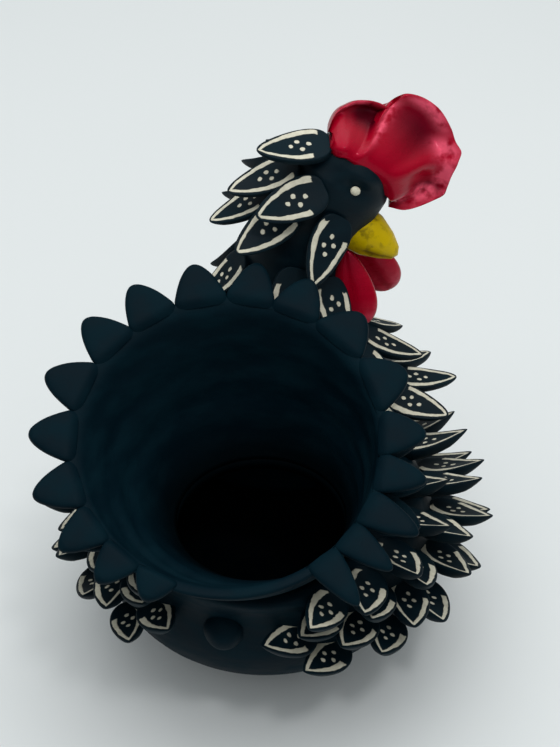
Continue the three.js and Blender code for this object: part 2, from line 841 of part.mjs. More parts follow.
function addWattles(carrier) {
  for (const wattle of wattles) {
    const root = neckPoint(THREE.MathUtils.degToRad(wattle.turn), wattle.along);
    const along = new THREE.Vector3(wattle.outShare, -wattle.nearShare, -1).normalize();
    const frame = frameAt(root, along, new THREE.Vector3(0, -1, 0));
    const cut = largestBody(wattleSolid(frame).subtract(carrier));
    addPiece(wattle.name, toGeometry(cut), redGlaze, frame);
  }
}

// Round button of clay or slip, pressed onto a skin.
const buttonSides = 10;
const buttonSteps = 6;

function buttonSolid(frame, radius, rise) {
  const button = merged(new THREE.SphereGeometry(1, buttonSides, buttonSteps));
  button.rotateX(Math.PI / 2);
  button.scale(radius, radius, rise);
  return toSolid(button.applyMatrix4(frame));
}

const eyes = [
  { name: 'eye_dot_near', turn: 8, along: 0.775 },
  { name: 'eye_dot_far', turn: 172, along: 0.775 },
];

function addEyes(carrier) {
  for (const eye of eyes) {
    const turn = THREE.MathUtils.degToRad(eye.turn);
    const frame = skinFrame(neckPoint, turn, eye.along);
    const cut = largestBody(buttonSolid(frame, eyeRadius, eyeRise).subtract(carrier));
    addPiece(eye.name, toGeometry(cut), creamSlip, frame);
  }
}

const knobLevel = 1.2;

function addKnob(carrier) {
  const frame = skinFrame(potPoint, tailTurn, knobLevel);
  const cut = largestBody(buttonSolid(frame, knobRadius, knobRadius).subtract(carrier));
  addPiece('tail_knob', toGeometry(cut), blackClay, frame);
}

// Assembly

const potCut = potForm(seatGap);
const funnelCut = funnelForm(seatGap);
const neckCut = neckForm(seatGap);
const bodyCut = potCut.add(neckCut);
addPot();
addCollar();
addNeck(potCut);
addPetals(funnelCut);
addUnderLeaves(funnelCut);
addNeckFeathers(neckCut);
addRuffs(bodyCut);
addBodyFeathers(bodyCut);
addComb(neckCut);
addBeak(neckCut);
addWattles(neckCut);
addEyes(neckCut);
addKnob(potCut);

export default hen;
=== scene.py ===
"""Hollow clay hen pot with an open funnel tail, a turned head and painted leaf feathers.

Lengths inside the classes are millimetres in the part's frame (+Z up, foot centre at the
origin, breast towards +Y). They turn into metres where a mesh is made.
"""

import logging
import math
from dataclasses import dataclass, field, replace
from enum import Enum
from typing import Protocol

import bpy
import numpy as np
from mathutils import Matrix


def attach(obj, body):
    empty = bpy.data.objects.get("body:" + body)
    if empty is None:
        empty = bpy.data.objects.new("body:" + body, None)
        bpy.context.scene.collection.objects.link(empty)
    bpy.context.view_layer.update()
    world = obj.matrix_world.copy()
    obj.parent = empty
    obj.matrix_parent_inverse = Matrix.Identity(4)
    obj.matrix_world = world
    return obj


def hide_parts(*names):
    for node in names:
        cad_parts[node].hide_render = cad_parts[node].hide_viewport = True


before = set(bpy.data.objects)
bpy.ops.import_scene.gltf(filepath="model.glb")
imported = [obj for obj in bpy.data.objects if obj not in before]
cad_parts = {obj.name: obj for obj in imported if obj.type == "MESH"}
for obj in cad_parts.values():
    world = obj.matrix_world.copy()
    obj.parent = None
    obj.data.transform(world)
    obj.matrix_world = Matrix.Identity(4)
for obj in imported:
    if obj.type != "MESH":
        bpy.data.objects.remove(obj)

Array = np.ndarray
MM = 0.001
LOG = logging.getLogger("hen_pot")


class Slot(Enum):
    """Material slots of the part's record."""

    BLACK_CLAY = "black_clay"
    RED_GLAZE = "red_glaze"
    YELLOW_GLAZE = "yellow_glaze"
    CREAM_SLIP = "cream_slip"


class Outline(Enum):
    """How a leaf's width runs from its root to its tip."""

    TEARDROP = "teardrop"
    PETAL = "petal"


# Small mathematics


def unit(vectors: Array) -> Array:
    """Vectors scaled to length one.

    Args:
        vectors: Array whose last axis holds x, y and z.

    Returns:
        The same array with every vector one long.
    """
    return vectors / np.linalg.norm(vectors, axis=-1, keepdims=True)


def smooth(low: float, high: float, value: Array) -> Array:
    """Smooth step: 0 below low, 1 above high, 3t^2 - 2t^3 between them.

    Args:
        low: Value where the step starts.
        high: Value where the step ends.
        value: Values to step.

    Returns:
        Values from 0 to 1.
    """
    share = np.clip((value - low) / (high - low), 0.0, 1.0)
    return share * share * (3.0 - 2.0 * share)


def bump(value: Array, centre: float, width: float) -> Array:
    """Bell of height one: exp(-((value - centre) / width)^2).

    Args:
        value: Where to read the bell.
        centre: Where it is highest.
        width: Distance at which it has dropped to 1/e.

    Returns:
        Height of the bell.
    """
    return np.exp(-(((value - centre) / width) ** 2))


def bells(along: Array, out: Array, table: tuple[tuple[float, ...], ...]) -> Array:
    """Sum of height * bell along * bell out over the rows of a table.

    Args:
        along: First place on a sheet.
        out: Second place on it.
        table: Rows of the two centres, the two widths and the height.

    Returns:
        The sum.
    """
    return sum(height * bump(along, at, wide) * bump(out, off, long)
               for at, off, wide, long, height in table)


def turns(sides: int) -> Array:
    """Angles of a closed ring, starting at zero.

    Args:
        sides: Number of points on the ring.

    Returns:
        Angles in radians.
    """
    return np.linspace(0.0, 2.0 * math.pi, sides, endpoint=False)


@dataclass(frozen=True)
class Curve:
    """Centripetal Catmull-Rom curve through points, read at shares from 0 to 1."""

    points: Array

    def at(self, share: Array) -> Array:
        """Points of the curve: on each span a cubic with the spans' own speeds.

        Args:
            share: Shares of the number of spans.

        Returns:
            Array with one more axis than share, of x, y and z.
        """
        share = np.asarray(share, float)
        knots = np.vstack([2 * self.points[0] - self.points[1], self.points,
                           2 * self.points[-1] - self.points[-2]])
        place = share * (len(self.points) - 1)
        span = np.clip(np.floor(place), 0, len(self.points) - 2).astype(int)
        rest = (place - span)[..., None]
        before, here, there, after = (knots[span + step] for step in range(4))
        gaps = [np.sqrt(np.linalg.norm(b - a, axis=-1, keepdims=True))
                for a, b in ((before, here), (here, there), (there, after))]
        low = ((here - before) / gaps[0] - (there - before) / (gaps[0] + gaps[1])
               + (there - here) / gaps[1]) * gaps[1]
        high = ((there - here) / gaps[1] - (after - here) / (gaps[1] + gaps[2])
                + (after - there) / gaps[2]) * gaps[1]
        return (here + low * rest + (-3 * here + 3 * there - 2 * low - high) * rest**2
                + (2 * here - 2 * there + low + high) * rest**3)

    def heading(self, share: Array) -> Array:
        """Unit direction in which the curve runs.

        Args:
            share: Shares of the number of spans.

        Returns:
            Unit vectors.
        """
        step = 1e-4
        share = np.asarray(share, float)
        return unit(self.at(np.minimum(share + step, 1.0)) - self.at(np.maximum(share - step, 0.0)))


class Form(Protocol):
    """Anything with a skin that can be read by two numbers."""

    def point(self, turn: Array, level: Array, swell: Array = 0.0) -> Array:
        """Point on the skin, moved outwards by swell."""


@dataclass(frozen=True)
class Place:
    """Where a piece sits: its root, its direction and the way that it faces."""

    root: Array
    along: Array
    face: Array

    def put(self, local: Array) -> Array:
        """Local points in the part's frame. Side, along and out stand at right angles.

        Args:
            local: Array whose last axis holds side, along and out.

        Returns:
            The points in the part's frame.
        """
        side = unit(np.cross(self.along, self.face))
        along = unit(self.along)
        out = np.cross(side, along)
        return self.root + local[..., :1] * side + local[..., 1:2] * along + local[..., 2:] * out

    def skin(self, local: Array, low: tuple[float, ...], high: tuple[float, ...],
             marks: dict[str, Array] | None = None) -> "Skin":
        """Closed skin over local rings and the two points that close it.

        Args:
            local: Rings of local points.
            low: Local point before the first ring.
            high: Local point after the last ring.
            marks: Numbers kept at each point.

        Returns:
            The skin in the part's frame.
        """
        start, end = self.put(np.array([low, high]))
        return Skin(self.put(local), start, end, marks or {})


def on_skin(form: Form, turn: float, level: float, aim: float = 0.0, tilt: float = 0.0,
            roll: float = 0.0, lift: float = 0.0) -> Place:
    """Place on a form's skin.

    Args:
        form: The form.
        turn: Turn round it in radians.
        level: Level on it.
        aim: Direction on the skin, from round it to up it, in radians.
        tilt: Angle off the skin in radians.
        roll: Lean of the face upwards in radians.
        lift: Distance of the root above the skin.

    Returns:
        The place.
    """
    step = 0.01
    spot = form.point(turn, level)
    around = unit(form.point(turn + step, level) - form.point(turn - step, level))
    upward = unit(form.point(turn, level + step) - form.point(turn, level - step))
    out = unit(np.cross(around, upward))
    if np.dot(out, form.point(turn, level, 1.0) - spot) < 0:
        out = -out
    flow = unit(around * math.cos(aim) + upward * math.sin(aim))
    along = flow * math.cos(tilt) + out * math.sin(tilt)
    return Place(spot + out * lift, along, out * math.cos(roll) + upward * math.sin(roll))


def on_ring(form: Form, turn: float, level: float, mirror: float, tilt: float, rise: float,
            roll: float, lift: float) -> Place:
    """Place of a leaf that points back along a level ring, outwards and a little up.

    Args:
        form: The form.
        turn: Turn round it in radians.
        level: Level on it.
        mirror: 1 on the right of the tail stripe, -1 on its left.
        tilt: Angle outwards from the ring in radians.
        rise: Angle upwards in radians.
        roll: Angle of the face above the level in radians.
        lift: Distance of the root above the skin.

    Returns:
        The place.
    """
    spot = form.point(turn, level)
    out = unit(form.point(turn, level, 1.0) - spot)
    upright = np.array([0.0, 0.0, 1.0])
    away = unit(out * np.array([1.0, 1.0, 0.0]))
    back = np.cross(away, upright) * mirror
    flow = unit(back * math.cos(tilt) + away * math.sin(tilt) + upright * math.sin(rise))
    return Place(spot + out * lift, flow, away * math.cos(roll) + upright * math.sin(roll))


# Meshes


@dataclass
class Skin:
    """Closed surface over rings of points. With end points it runs open from one to the
    other; without them the rings run round and meet."""

    rings: Array
    start: Array | None = None
    end: Array | None = None
    marks: dict[str, Array] = field(default_factory=dict)

    def faces(self) -> tuple[Array, Array]:
        """Quads between neighbouring rings and triangles at the end points.

        Returns:
            Quads and triangles as vertex numbers.
        """
        count, sides = self.rings.shape[:2]
        side = np.arange(sides)
        beside = (side + 1) % sides
        closed = self.start is None
        ring = np.arange(count if closed else count - 1)[:, None]
        above = (ring + 1) % count
        quads = np.stack([ring * sides + side, ring * sides + beside,
                          above * sides + beside, above * sides + side], axis=-1).reshape(-1, 4)
        if closed:
            return quads, np.empty((0, 3), int)
        low = np.full(sides, count * sides)
        top = (count - 1) * sides
        cap_low = np.stack([low, beside, side], axis=-1)
        cap_high = np.stack([top + side, top + beside, low + 1], axis=-1)
        return quads, np.vstack([cap_low, cap_high])

    def build(self, name: str) -> bpy.types.Object:
        """Mesh object with smooth faces that point outwards and its marks as attributes.

        Args:
            name: Name of the object.

        Returns:
            The object, linked to the scene.
        """
        points = self.rings.reshape(-1, 3)
        if self.start is not None:
            points = np.vstack([points, self.start, self.end])
        quads, triangles = self.faces()
        halves = np.vstack([quads[:, [0, 1, 2]], quads[:, [0, 2, 3]], triangles])
        corner = points[halves]
        volume = np.einsum("ij,ij->", corner[:, 0], np.cross(corner[:, 1], corner[:, 2]))
        if volume < 0:
            quads, triangles = quads[:, ::-1], triangles[:, ::-1]
        mesh = bpy.data.meshes.new(name)
        mesh.from_pydata((points * MM).tolist(), [], quads.tolist() + triangles.tolist())
        mesh.shade_smooth()
        for key, values in self.marks.items():
            flat = values.reshape(-1, 3)
            if self.start is not None:
                flat = np.vstack([flat, values[0].mean(axis=0), values[-1].mean(axis=0)])
            layer = mesh.attributes.new(key, "FLOAT_VECTOR", "POINT")
            layer.data.foreach_set("vector", np.ascontiguousarray(flat, np.float32).ravel())
        obj = bpy.data.objects.new(name, mesh)
        bpy.context.scene.collection.objects.link(obj)
        return obj


def settle(obj: bpy.types.Object, material: bpy.types.Material, slot: Slot, *nodes: str) -> None:
    """Dresses a piece, hangs it under the root body and hides the CAD nodes that it stands for.

    Args:
        obj: The new piece.
        material: Its finish.
        slot: Not used.
        nodes: CAD nodes that it stands for.
    """
    obj.data.materials.append(material)
    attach(obj, "root")
    if nodes:
        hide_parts(*nodes)
    LOG.info("%s: %d vertices", obj.name, len(obj.data.vertices))


# Finishes


class Sheet:
    """Node tree laid out from left to right."""

    column_width = 180
    row_height = 160
    rows = 4

    def __init__(self, tree: bpy.types.NodeTree) -> None:
        """Empties the tree.

        Args:
            tree: Tree to fill.
        """
        self.tree = tree
        tree.nodes.clear()
        self.column = 0

    def add(self, kind: str, inputs: dict | None = None, **settings: object) -> bpy.types.Node:
        """New node with its settings and inputs.

        Args:
            kind: Node type.
            inputs: Input name or number to a value or an output socket.
            settings: Properties of the node.

        Returns:
            The node.
        """
        node = self.tree.nodes.new(kind)
        node.location = (self.column * self.column_width, -(self.column % self.rows) * self.row_height)
        self.column += 1
        for key, value in settings.items():
            setattr(node, key, value)
        for key, value in (inputs or {}).items():
            if isinstance(value, bpy.types.NodeSocket):
                self.tree.links.new(value, node.inputs[key])
            else:
                node.inputs[key].default_value = value
        return node

    def math(self, operation: str, *values: object) -> bpy.types.NodeSocket:
        """Result of one Math node.

        Args:
            operation: Its operation.
            values: Numbers or sockets.

        Returns:
            Its output.
        """
        return self.add("ShaderNodeMath", dict(enumerate(values)), operation=operation).outputs[0]

    def step(self, value: object, low: object, high: object) -> bpy.types.NodeSocket:
        """Smooth step of a value from 0 at low to 1 at high.

        Args:
            value: Number or socket.
            low: Where the step starts.
            high: Where it ends.

        Returns:
            Its output.
        """
        node = self.add("ShaderNodeMapRange", {"Value": value, "From Min": low, "From Max": high},
                        interpolation_type="SMOOTHSTEP")
        return node.outputs["Result"]

    def noise(self, vector: object, scale: float, detail: float = 2.0) -> bpy.types.NodeSocket:
        """Value of a noise texture.

        Args:
            vector: Where to read it.
            scale: Waves to the unit of the vector.
            detail: Octaves.

        Returns:
            Its value, about one half on average.
        """
        node = self.add("ShaderNodeTexNoise", {"Vector": vector, "Scale": scale, "Detail": detail})
        return node.outputs[0]

    def drift(self, vector: object, scale: float, reach: float) -> bpy.types.NodeSocket:
        """Noise about zero.

        Args:
            vector: Where to read it.
            scale: Waves to the unit of the vector.
            reach: Width of its range.

        Returns:
            Its value.
        """
        return self.math("MULTIPLY", self.math("SUBTRACT", self.noise(vector, scale), 0.5), reach)

    def mix(self, share: object, low: object, high: object) -> bpy.types.NodeSocket:
        """Blend of two colours.

        Args:
            share: Share of the second colour.
            low: First colour.
            high: Second colour.

        Returns:
            The colour.
        """
        node = self.add("ShaderNodeMix", {0: share, 6: low, 7: high}, data_type="RGBA")
        return node.outputs[2]


def colour(red: float, green: float, blue: float) -> tuple[float, float, float, float]:
    """Linear colour with full cover.

    Args:
        red: Red share.
        green: Green share.
        blue: Blue share.

    Returns:
        The colour.
    """
    return (red, green, blue, 1.0)


def new_group(name: str, takes: dict[str, str], gives: dict[str, str]) -> tuple[Sheet, dict, Sheet]:
    """Empty shader node group with its sockets.

    Args:
        name: Name of the group.
        takes: Input names to socket types.
        gives: Output names to socket types.

    Returns:
        The sheet, the input sockets by name, and the group's output node.
    """
    tree = bpy.data.node_groups.new(name, "ShaderNodeTree")
    for key, kind in takes.items():
        tree.interface.new_socket(key, in_out="INPUT", socket_type=kind)
    for key, kind in gives.items():
        tree.interface.new_socket(key, in_out="OUTPUT", socket_type=kind)
    sheet = Sheet(tree)
    source = sheet.add("NodeGroupInput")
    target = sheet.add("NodeGroupOutput")
    return sheet, {key: source.outputs[key] for key in takes}, target


def hand_worked_group() -> bpy.types.NodeTree:
    """Look of clay that fingers have worked: soft smears, grain and small pits.

    Returns:
        The group: place in, shade and height out, both from 0 to 1.
    """
    sheet, takes, target = new_group(
        "hand_worked_clay",
        {"Vector": "NodeSocketVector"},
        {"Shade": "NodeSocketFloat", "Height": "NodeSocketFloat"},
    )
    place = takes["Vector"]
    level = sheet.add("ShaderNodeMapping", {"Vector": place, "Scale": (1.0, 1.0, 2.4)}).outputs[0]
    # Place, waves to the metre, octaves and weight of the smears, the dents and the grain.
    layers = ((level, 75.0, 3.0, 0.5), (place, 210.0, 2.0, 0.35), (place, 1500.0, 2.0, 0.12))
    waves = [sheet.noise(where, scale, detail) for where, scale, detail, _ in layers]
    height: object = 0.0
    for wave, (*_, weight) in zip(waves, layers):
        height = sheet.math("MULTIPLY_ADD", wave, weight, height)
    shade = sheet.step(waves[0], 0.35, 0.7)
    sheet.tree.links.new(shade, target.inputs["Shade"])
    sheet.tree.links.new(height, target.inputs["Height"])
    return sheet.tree


@dataclass(frozen=True)
class SlipMarks:
    """Strokes and dots of slip on a leaf, in millimetres of the leaf's own frame."""

    inset: float = 1.85
    half: float = 0.93
    dot: float = 0.84
    # Half the width over which a mark's edge fades.
    soft: float = 0.14
    fade: float = 0.25
    # Where the long and the short stroke start, and where both end.
    starts: tuple[float, float] = (3.4, 7.4)
    stop: float = 25.6
    dots: tuple[tuple[float, float], ...] = ((0.1, 7.6), (-1.9, 10.4), (1.7, 11.3), (0.0, 14.2))

    def stroke(self, sheet: Sheet, side: object, across: object, place: object, edge: object,
               start: float, thick: float, press: object) -> bpy.types.NodeSocket:
        """One stroke along an edge, thick at its root end and thin at its tip end.

        Args:
            sheet: Sheet of the group.
            side: 1 or -1, the edge that it follows.
            across: Distance from the leaf's middle.
            place: Distance from its root.
            edge: Distance inside its edge.
            start: Where the stroke starts.
            thick: Half its thickness at the start.
            press: How hard the brush presses, about 1.

        Returns:
            Cover of the stroke.
        """
        taper = sheet.math("MULTIPLY", sheet.step(place, self.stop, start), thick * 0.55)
        half = sheet.math("MULTIPLY", sheet.math("ADD", taper, thick * 0.6), press)
        off = sheet.math("ABSOLUTE", sheet.math("SUBTRACT", edge, self.inset))
        cover = sheet.step(sheet.math("SUBTRACT", half, off), -self.soft, self.soft)
        begun = sheet.step(place, start - self.fade, start + self.fade)
        ended = sheet.step(place, self.stop + self.fade, self.stop - self.fade)
        sided = sheet.step(sheet.math("MULTIPLY", across, side), -self.fade, 0.1)
        cover = sheet.math("MULTIPLY", cover, sheet.math("MULTIPLY", begun, ended))
        return sheet.math("MULTIPLY", cover, sided)

    def group(self) -> bpy.types.NodeTree:
        """Group with the cover of all the slip on a leaf.

        Returns:
            The group: marks and seeds in, cover out.
        """
        sheet, takes, target = new_group(
            "slip_marks",
            {"Leaf": "NodeSocketVector", "Seed": "NodeSocketVector"},
            {"Cover": "NodeSocketFloat"},
        )
        leaf = sheet.add("ShaderNodeSeparateXYZ", {0: takes["Leaf"]})
        seed = sheet.add("ShaderNodeSeparateXYZ", {0: takes["Seed"]})
        offset = sheet.add("ShaderNodeVectorMath", {0: takes["Seed"], 1: (37.0, 0.0, 0.0)},
                           operation="MULTIPLY")
        spot = sheet.add("ShaderNodeVectorMath", {0: takes["Leaf"], 1: offset.outputs[0]},
                         operation="ADD")
        wobble = sheet.drift(spot.outputs[0], 0.22, 1.6)
        shake = sheet.drift(spot.outputs[0], 0.7, 0.8)
        press = sheet.math("MULTIPLY_ADD", sheet.noise(spot.outputs[0], 0.3), 1.0, 0.45)
        edge = sheet.math("ADD", leaf.outputs[2], sheet.math("MULTIPLY", wobble, 0.55))
        place = sheet.math("ADD", leaf.outputs[1], sheet.math("MULTIPLY", wobble, 2.2))
        sides = (seed.outputs[1], sheet.math("MULTIPLY", seed.outputs[1], -1.0))
        strokes = [self.stroke(sheet, side, leaf.outputs[0], place, edge, start, thick, press)
                   for side, start, thick in zip(sides, self.starts, (self.half * 1.15, self.half))]
        cover = sheet.math("MAXIMUM", *strokes)
        for across, along in self.dots:
            side = sheet.math("SUBTRACT", sheet.math("ADD", leaf.outputs[0], shake), across)
            length = sheet.math("SUBTRACT", sheet.math("ADD", leaf.outputs[1], wobble), along)
            away = sheet.math("SQRT", sheet.math("ADD", sheet.math("POWER", side, 2.0),
                                                 sheet.math("POWER", length, 2.0)))
            cover = sheet.math("MAXIMUM", cover,
                               sheet.step(away, self.dot + self.soft, self.dot - self.soft))
        top = sheet.step(leaf.outputs[2], 0.25, 0.5)
        cover = sheet.math("MULTIPLY", cover, sheet.math("MULTIPLY", top, seed.outputs[2]))
        sheet.tree.links.new(cover, target.inputs["Cover"])
        return sheet.tree


def start_material(name: str) -> tuple[Sheet, bpy.types.Material]:
    """New material whose nodes are to be laid out.

    Args:
        name: Name of the material.

    Returns:
        Its sheet and the material.
    """
    material = bpy.data.materials.new(name)
    material.use_nodes = True
    return Sheet(material.node_tree), material


def use_group(sheet: Sheet, tree: bpy.types.NodeTree, inputs: dict) -> bpy.types.Node:
    """Group node in a material.

    Args:
        sheet: Sheet of the material.
        tree: The group.
        inputs: Its inputs.

    Returns:
        The group node.
    """
    node = sheet.add("ShaderNodeGroup", node_tree=tree)
    for key, value in inputs.items():
        sheet.tree.links.new(value, node.inputs[key])
    return node


def close_material(sheet: Sheet, inputs: dict) -> None:
    """Ends a material with its surface shader.

    Args:
        sheet: Sheet of the material.
        inputs: Inputs of the surface shader.
    """
    shader = sheet.add("ShaderNodeBsdfPrincipled", inputs)
    sheet.add("ShaderNodeOutputMaterial", {"Surface": shader.outputs[0]})


@dataclass(frozen=True)
class BlackClay:
    """Matt black burnished clay, blue-grey where light grazes it."""

    dark: tuple[float, float, float] = (0.0004, 0.0070, 0.0120)
    pale: tuple[float, float, float] = (0.0009, 0.0108, 0.0170)
    # Near-black colour of painted shade, used where a surface is marked deep.
    painted_shade: tuple[float, float, float] = (0.0003, 0.0010, 0.0014)
    slip_shaded: tuple[float, float, float] = (0.50, 0.47, 0.36)
    slip_pale: tuple[float, float, float] = (0.80, 0.77, 0.63)
    roughness: float = 0.62
    unevenness: float = 0.16
    sheen: float = 0.05
    relief: float = 0.0006
    slip_relief: float = 0.0003

    def build(self, name: str, worked: bpy.types.NodeTree,
              slip: bpy.types.NodeTree | None = None) -> bpy.types.Material:
        """Material, darkened as painted shade where a surface is marked deep, with slip where a leaf
        carries it.

        Args:
            name: Name of the material.
            worked: Group of the hand-worked look.
            slip: Group of the slip marks, for painted leaves.

        Returns:
            The material.
        """
        sheet, material = start_material(name)
        place = sheet.add("ShaderNodeTexCoord").outputs["Object"]
        look = use_group(sheet, worked, {"Vector": place})
        base = sheet.mix(look.outputs["Shade"], colour(*self.dark), colour(*self.pale))
        rough = sheet.math("MULTIPLY_ADD", look.outputs["Shade"], self.unevenness,
                           self.roughness - self.unevenness / 2)
        # Painted shade: where a surface is marked deep, its colour turns almost black and its sheen
        # drops.
        deep = sheet.add("ShaderNodeAttribute", attribute_name="deep").outputs["Fac"]
        base = sheet.mix(sheet.math("MULTIPLY", deep, 0.9), base, colour(*self.painted_shade))
        gloss: object = sheet.math("MULTIPLY_ADD", deep, -0.8 * self.sheen, self.sheen)
        relief = sheet.add("ShaderNodeBump", {"Strength": 0.5, "Distance": self.relief,
                                              "Height": look.outputs["Height"]})
        normal = relief.outputs[0]
        if slip is not None:
            leaf = sheet.add("ShaderNodeAttribute", attribute_name="leaf").outputs["Vector"]
            seed = sheet.add("ShaderNodeAttribute", attribute_name="seed").outputs["Vector"]
            cover = use_group(sheet, slip, {"Leaf": leaf, "Seed": seed}).outputs["Cover"]
            tone = sheet.noise(place, 420.0)
            cream = sheet.mix(tone, colour(*self.slip_shaded), colour(*self.slip_pale))
            base = sheet.mix(cover, base, cream)
            rough = sheet.math("ADD", rough, sheet.math("MULTIPLY", cover, 0.05))
            gloss = sheet.math("MULTIPLY_ADD", cover, 0.2, self.sheen)
            raised = sheet.add("ShaderNodeBump", {"Strength": 0.7, "Distance": self.slip_relief,
                                                  "Height": cover, "Normal": normal})
            normal = raised.outputs[0]
        close_material(sheet, {"Base Color": base, "Roughness": rough, "Normal": normal,
                               "Specular IOR Level": gloss})
        return material


@dataclass(frozen=True)
class Glaze:
    """Shiny painted glaze, with painted shade in its hollows and paler patches on its rims that stand
    for wear and painted highlights.
    """

    # Colours of the glaze in painted shade, in full, and in its paler patches of wear and painted
    # highlight.
    deep: tuple[float, float, float]
    full: tuple[float, float, float]
    wear_and_highlight: tuple[float, float, float]
    tint: tuple[float, float, float]
    roughness: float
    coat: float
    smudge: float
    stain: tuple[float, float, float] = (0.02, 0.016, 0.006)
    relief: float = 0.0012

    def build(self, name: str, worked: bpy.types.NodeTree) -> bpy.types.Material:
        """Material of the glaze.

        Args:
            name: Name of the material.
            worked: Group of the hand-worked look.

        Returns:
            The material.
        """
        sheet, material = start_material(name)
        place = sheet.add("ShaderNodeTexCoord").outputs["Object"]
        look = use_group(sheet, worked, {"Vector": place})
        hollow = sheet.add("ShaderNodeAttribute", attribute_name="hollow").outputs["Vector"]
        parts = sheet.add("ShaderNodeSeparateXYZ", {0: hollow})
        # Painted shade: the hollow mark's first number darkens the glaze.
        base = sheet.mix(parts.outputs[0], colour(*self.full), colour(*self.deep))
        # Paler patches of wear and painted highlight, from the hollow mark's second number, broken up
        # by noise.
        patchiness = sheet.step(sheet.noise(place, 240.0, 4.0), 0.3, 0.6)
        base = sheet.mix(sheet.math("MULTIPLY", parts.outputs[1], patchiness), base, colour(*self.wear_and_highlight))
        spots = sheet.step(sheet.noise(place, 260.0, 4.0), 0.52, 0.74)
        base = sheet.mix(sheet.math("MULTIPLY", spots, self.smudge), base, colour(*self.stain))
        relief = sheet.add("ShaderNodeBump", {"Strength": 0.35, "Distance": self.relief,
                                              "Height": look.outputs["Height"]})
        rough = sheet.math("MULTIPLY_ADD", look.outputs["Shade"], 0.14, self.roughness)
        close_material(sheet, {"Base Color": base, "Roughness": rough, "Normal": relief.outputs[0],
                               "Specular IOR Level": 0.5, "Specular Tint": colour(*self.tint),
                               "Coat Weight": self.coat, "Coat Roughness": 0.1})
        return material


@dataclass(frozen=True)
class CreamSlip:
    """Dried cream slip of the eye dots."""

    pale: tuple[float, float, float] = (0.78, 0.75, 0.60)
    shaded: tuple[float, float, float] = (0.55, 0.51, 0.38)

    def build(self, name: str) -> bpy.types.Material:
        """Material of the slip.

        Args:
            name: Name of the material.

        Returns:
            The material.
        """
        sheet, material = start_material(name)
        place = sheet.add("ShaderNodeTexCoord").outputs["Object"]
        base = sheet.mix(sheet.noise(place, 900.0), colour(*self.shaded), colour(*self.pale))
        close_material(sheet, {"Base Color": base, "Roughness": 0.6})
        return material


@dataclass(frozen=True)
class Finishes:
    """All the materials of the hen."""

    clay: bpy.types.Material
    burnished: bpy.types.Material
    painted: bpy.types.Material
    comb: bpy.types.Material
    beak: bpy.types.Material
    slip: bpy.types.Material

    @staticmethod
    def make() -> "Finishes":
        """Builds the materials and the groups that they share.

        Returns:
            The finishes.
        """
        worked = hand_worked_group()
        red = Glaze(deep=(0.055, 0.0002, 0.005), full=(0.33, 0.0002, 0.013), wear_and_highlight=(0.85, 0.10, 0.17),
                    tint=(1.0, 0.05, 0.16), roughness=0.22, coat=0.1, smudge=0.05)
        yellow = Glaze(deep=(0.24, 0.15, 0.001), full=(0.60, 0.42, 0.0003), wear_and_highlight=(0.80, 0.60, 0.01),
                       tint=(1.0, 0.8, 0.1), roughness=0.42, coat=0.06, smudge=0.7)
        return Finishes(
            clay=BlackClay().build("black_clay", worked),
            burnished=BlackClay(roughness=0.5, sheen=0.12).build("black_clay_burnished", worked),
            painted=BlackClay(sheen=0.12).build("black_clay_painted", worked, SlipMarks().group()),
            comb=red.build("red_glaze", worked),
            beak=yellow.build("yellow_glaze", worked),
            slip=CreamSlip().build("cream_slip"),
        )


# Forms


@dataclass(frozen=True)
class PotForm:
    """Squat pot whose upper part slides back to the throat."""

    foot_radius: float = 24.0
    foot_ease: float = 1.8
    belly_radius: float = 63.0
    belly_height: float = 48.0
    rim_height: float = 80.0
    wall: float = 4.5
    throat_radius: float = 29.0
    throat_sideways: float = -1.5
    throat_back: float = 30.0
    ease: float = 3.0

    def point(self, turn: Array, level: Array, swell: Array = 0.0) -> Array:
        """Skin of the pot: quarter ellipses from foot to belly and from belly to rim.

        Args:
            turn: Turn from the back (-Y) towards +X.
            level: 0 at the foot, 1 at the belly, 2 at the rim.
            swell: Distance outwards.

        Returns:
            Points in millimetres.
        """
        turn, level, swell = np.broadcast_arrays(*(np.asarray(v, float) for v in (turn, level, swell)))
        arc = np.where(level < 1, level, level - 1) * math.pi / 2
        rim = self.throat_radius + self.wall
        bulge = (self.belly_radius - self.foot_radius) * np.abs(np.sin(arc)) ** self.foot_ease
        radius = np.where(level < 1, self.foot_radius + bulge,
                          rim + (self.belly_radius - rim) * np.cos(arc)) + swell
        height = np.where(level < 1, self.belly_height * (1 - np.cos(arc)),
                          self.belly_height + (self.rim_height - self.belly_height) * np.sin(arc))
        shift = self.shift(height)
        return np.stack([self.throat_sideways * shift + radius * np.sin(turn),
                         -self.throat_back * shift - radius * np.cos(turn), height], axis=-1)

    def shift(self, height: Array) -> Array:
        """Share of the slide towards the throat at a height.

        Args:
            height: Height in millimetres.

        Returns:
            Share from 0 to 1.
        """
        share = (height - self.belly_height) / (self.rim_height - self.belly_height)
        return np.clip(share, 0, 1) ** self.ease


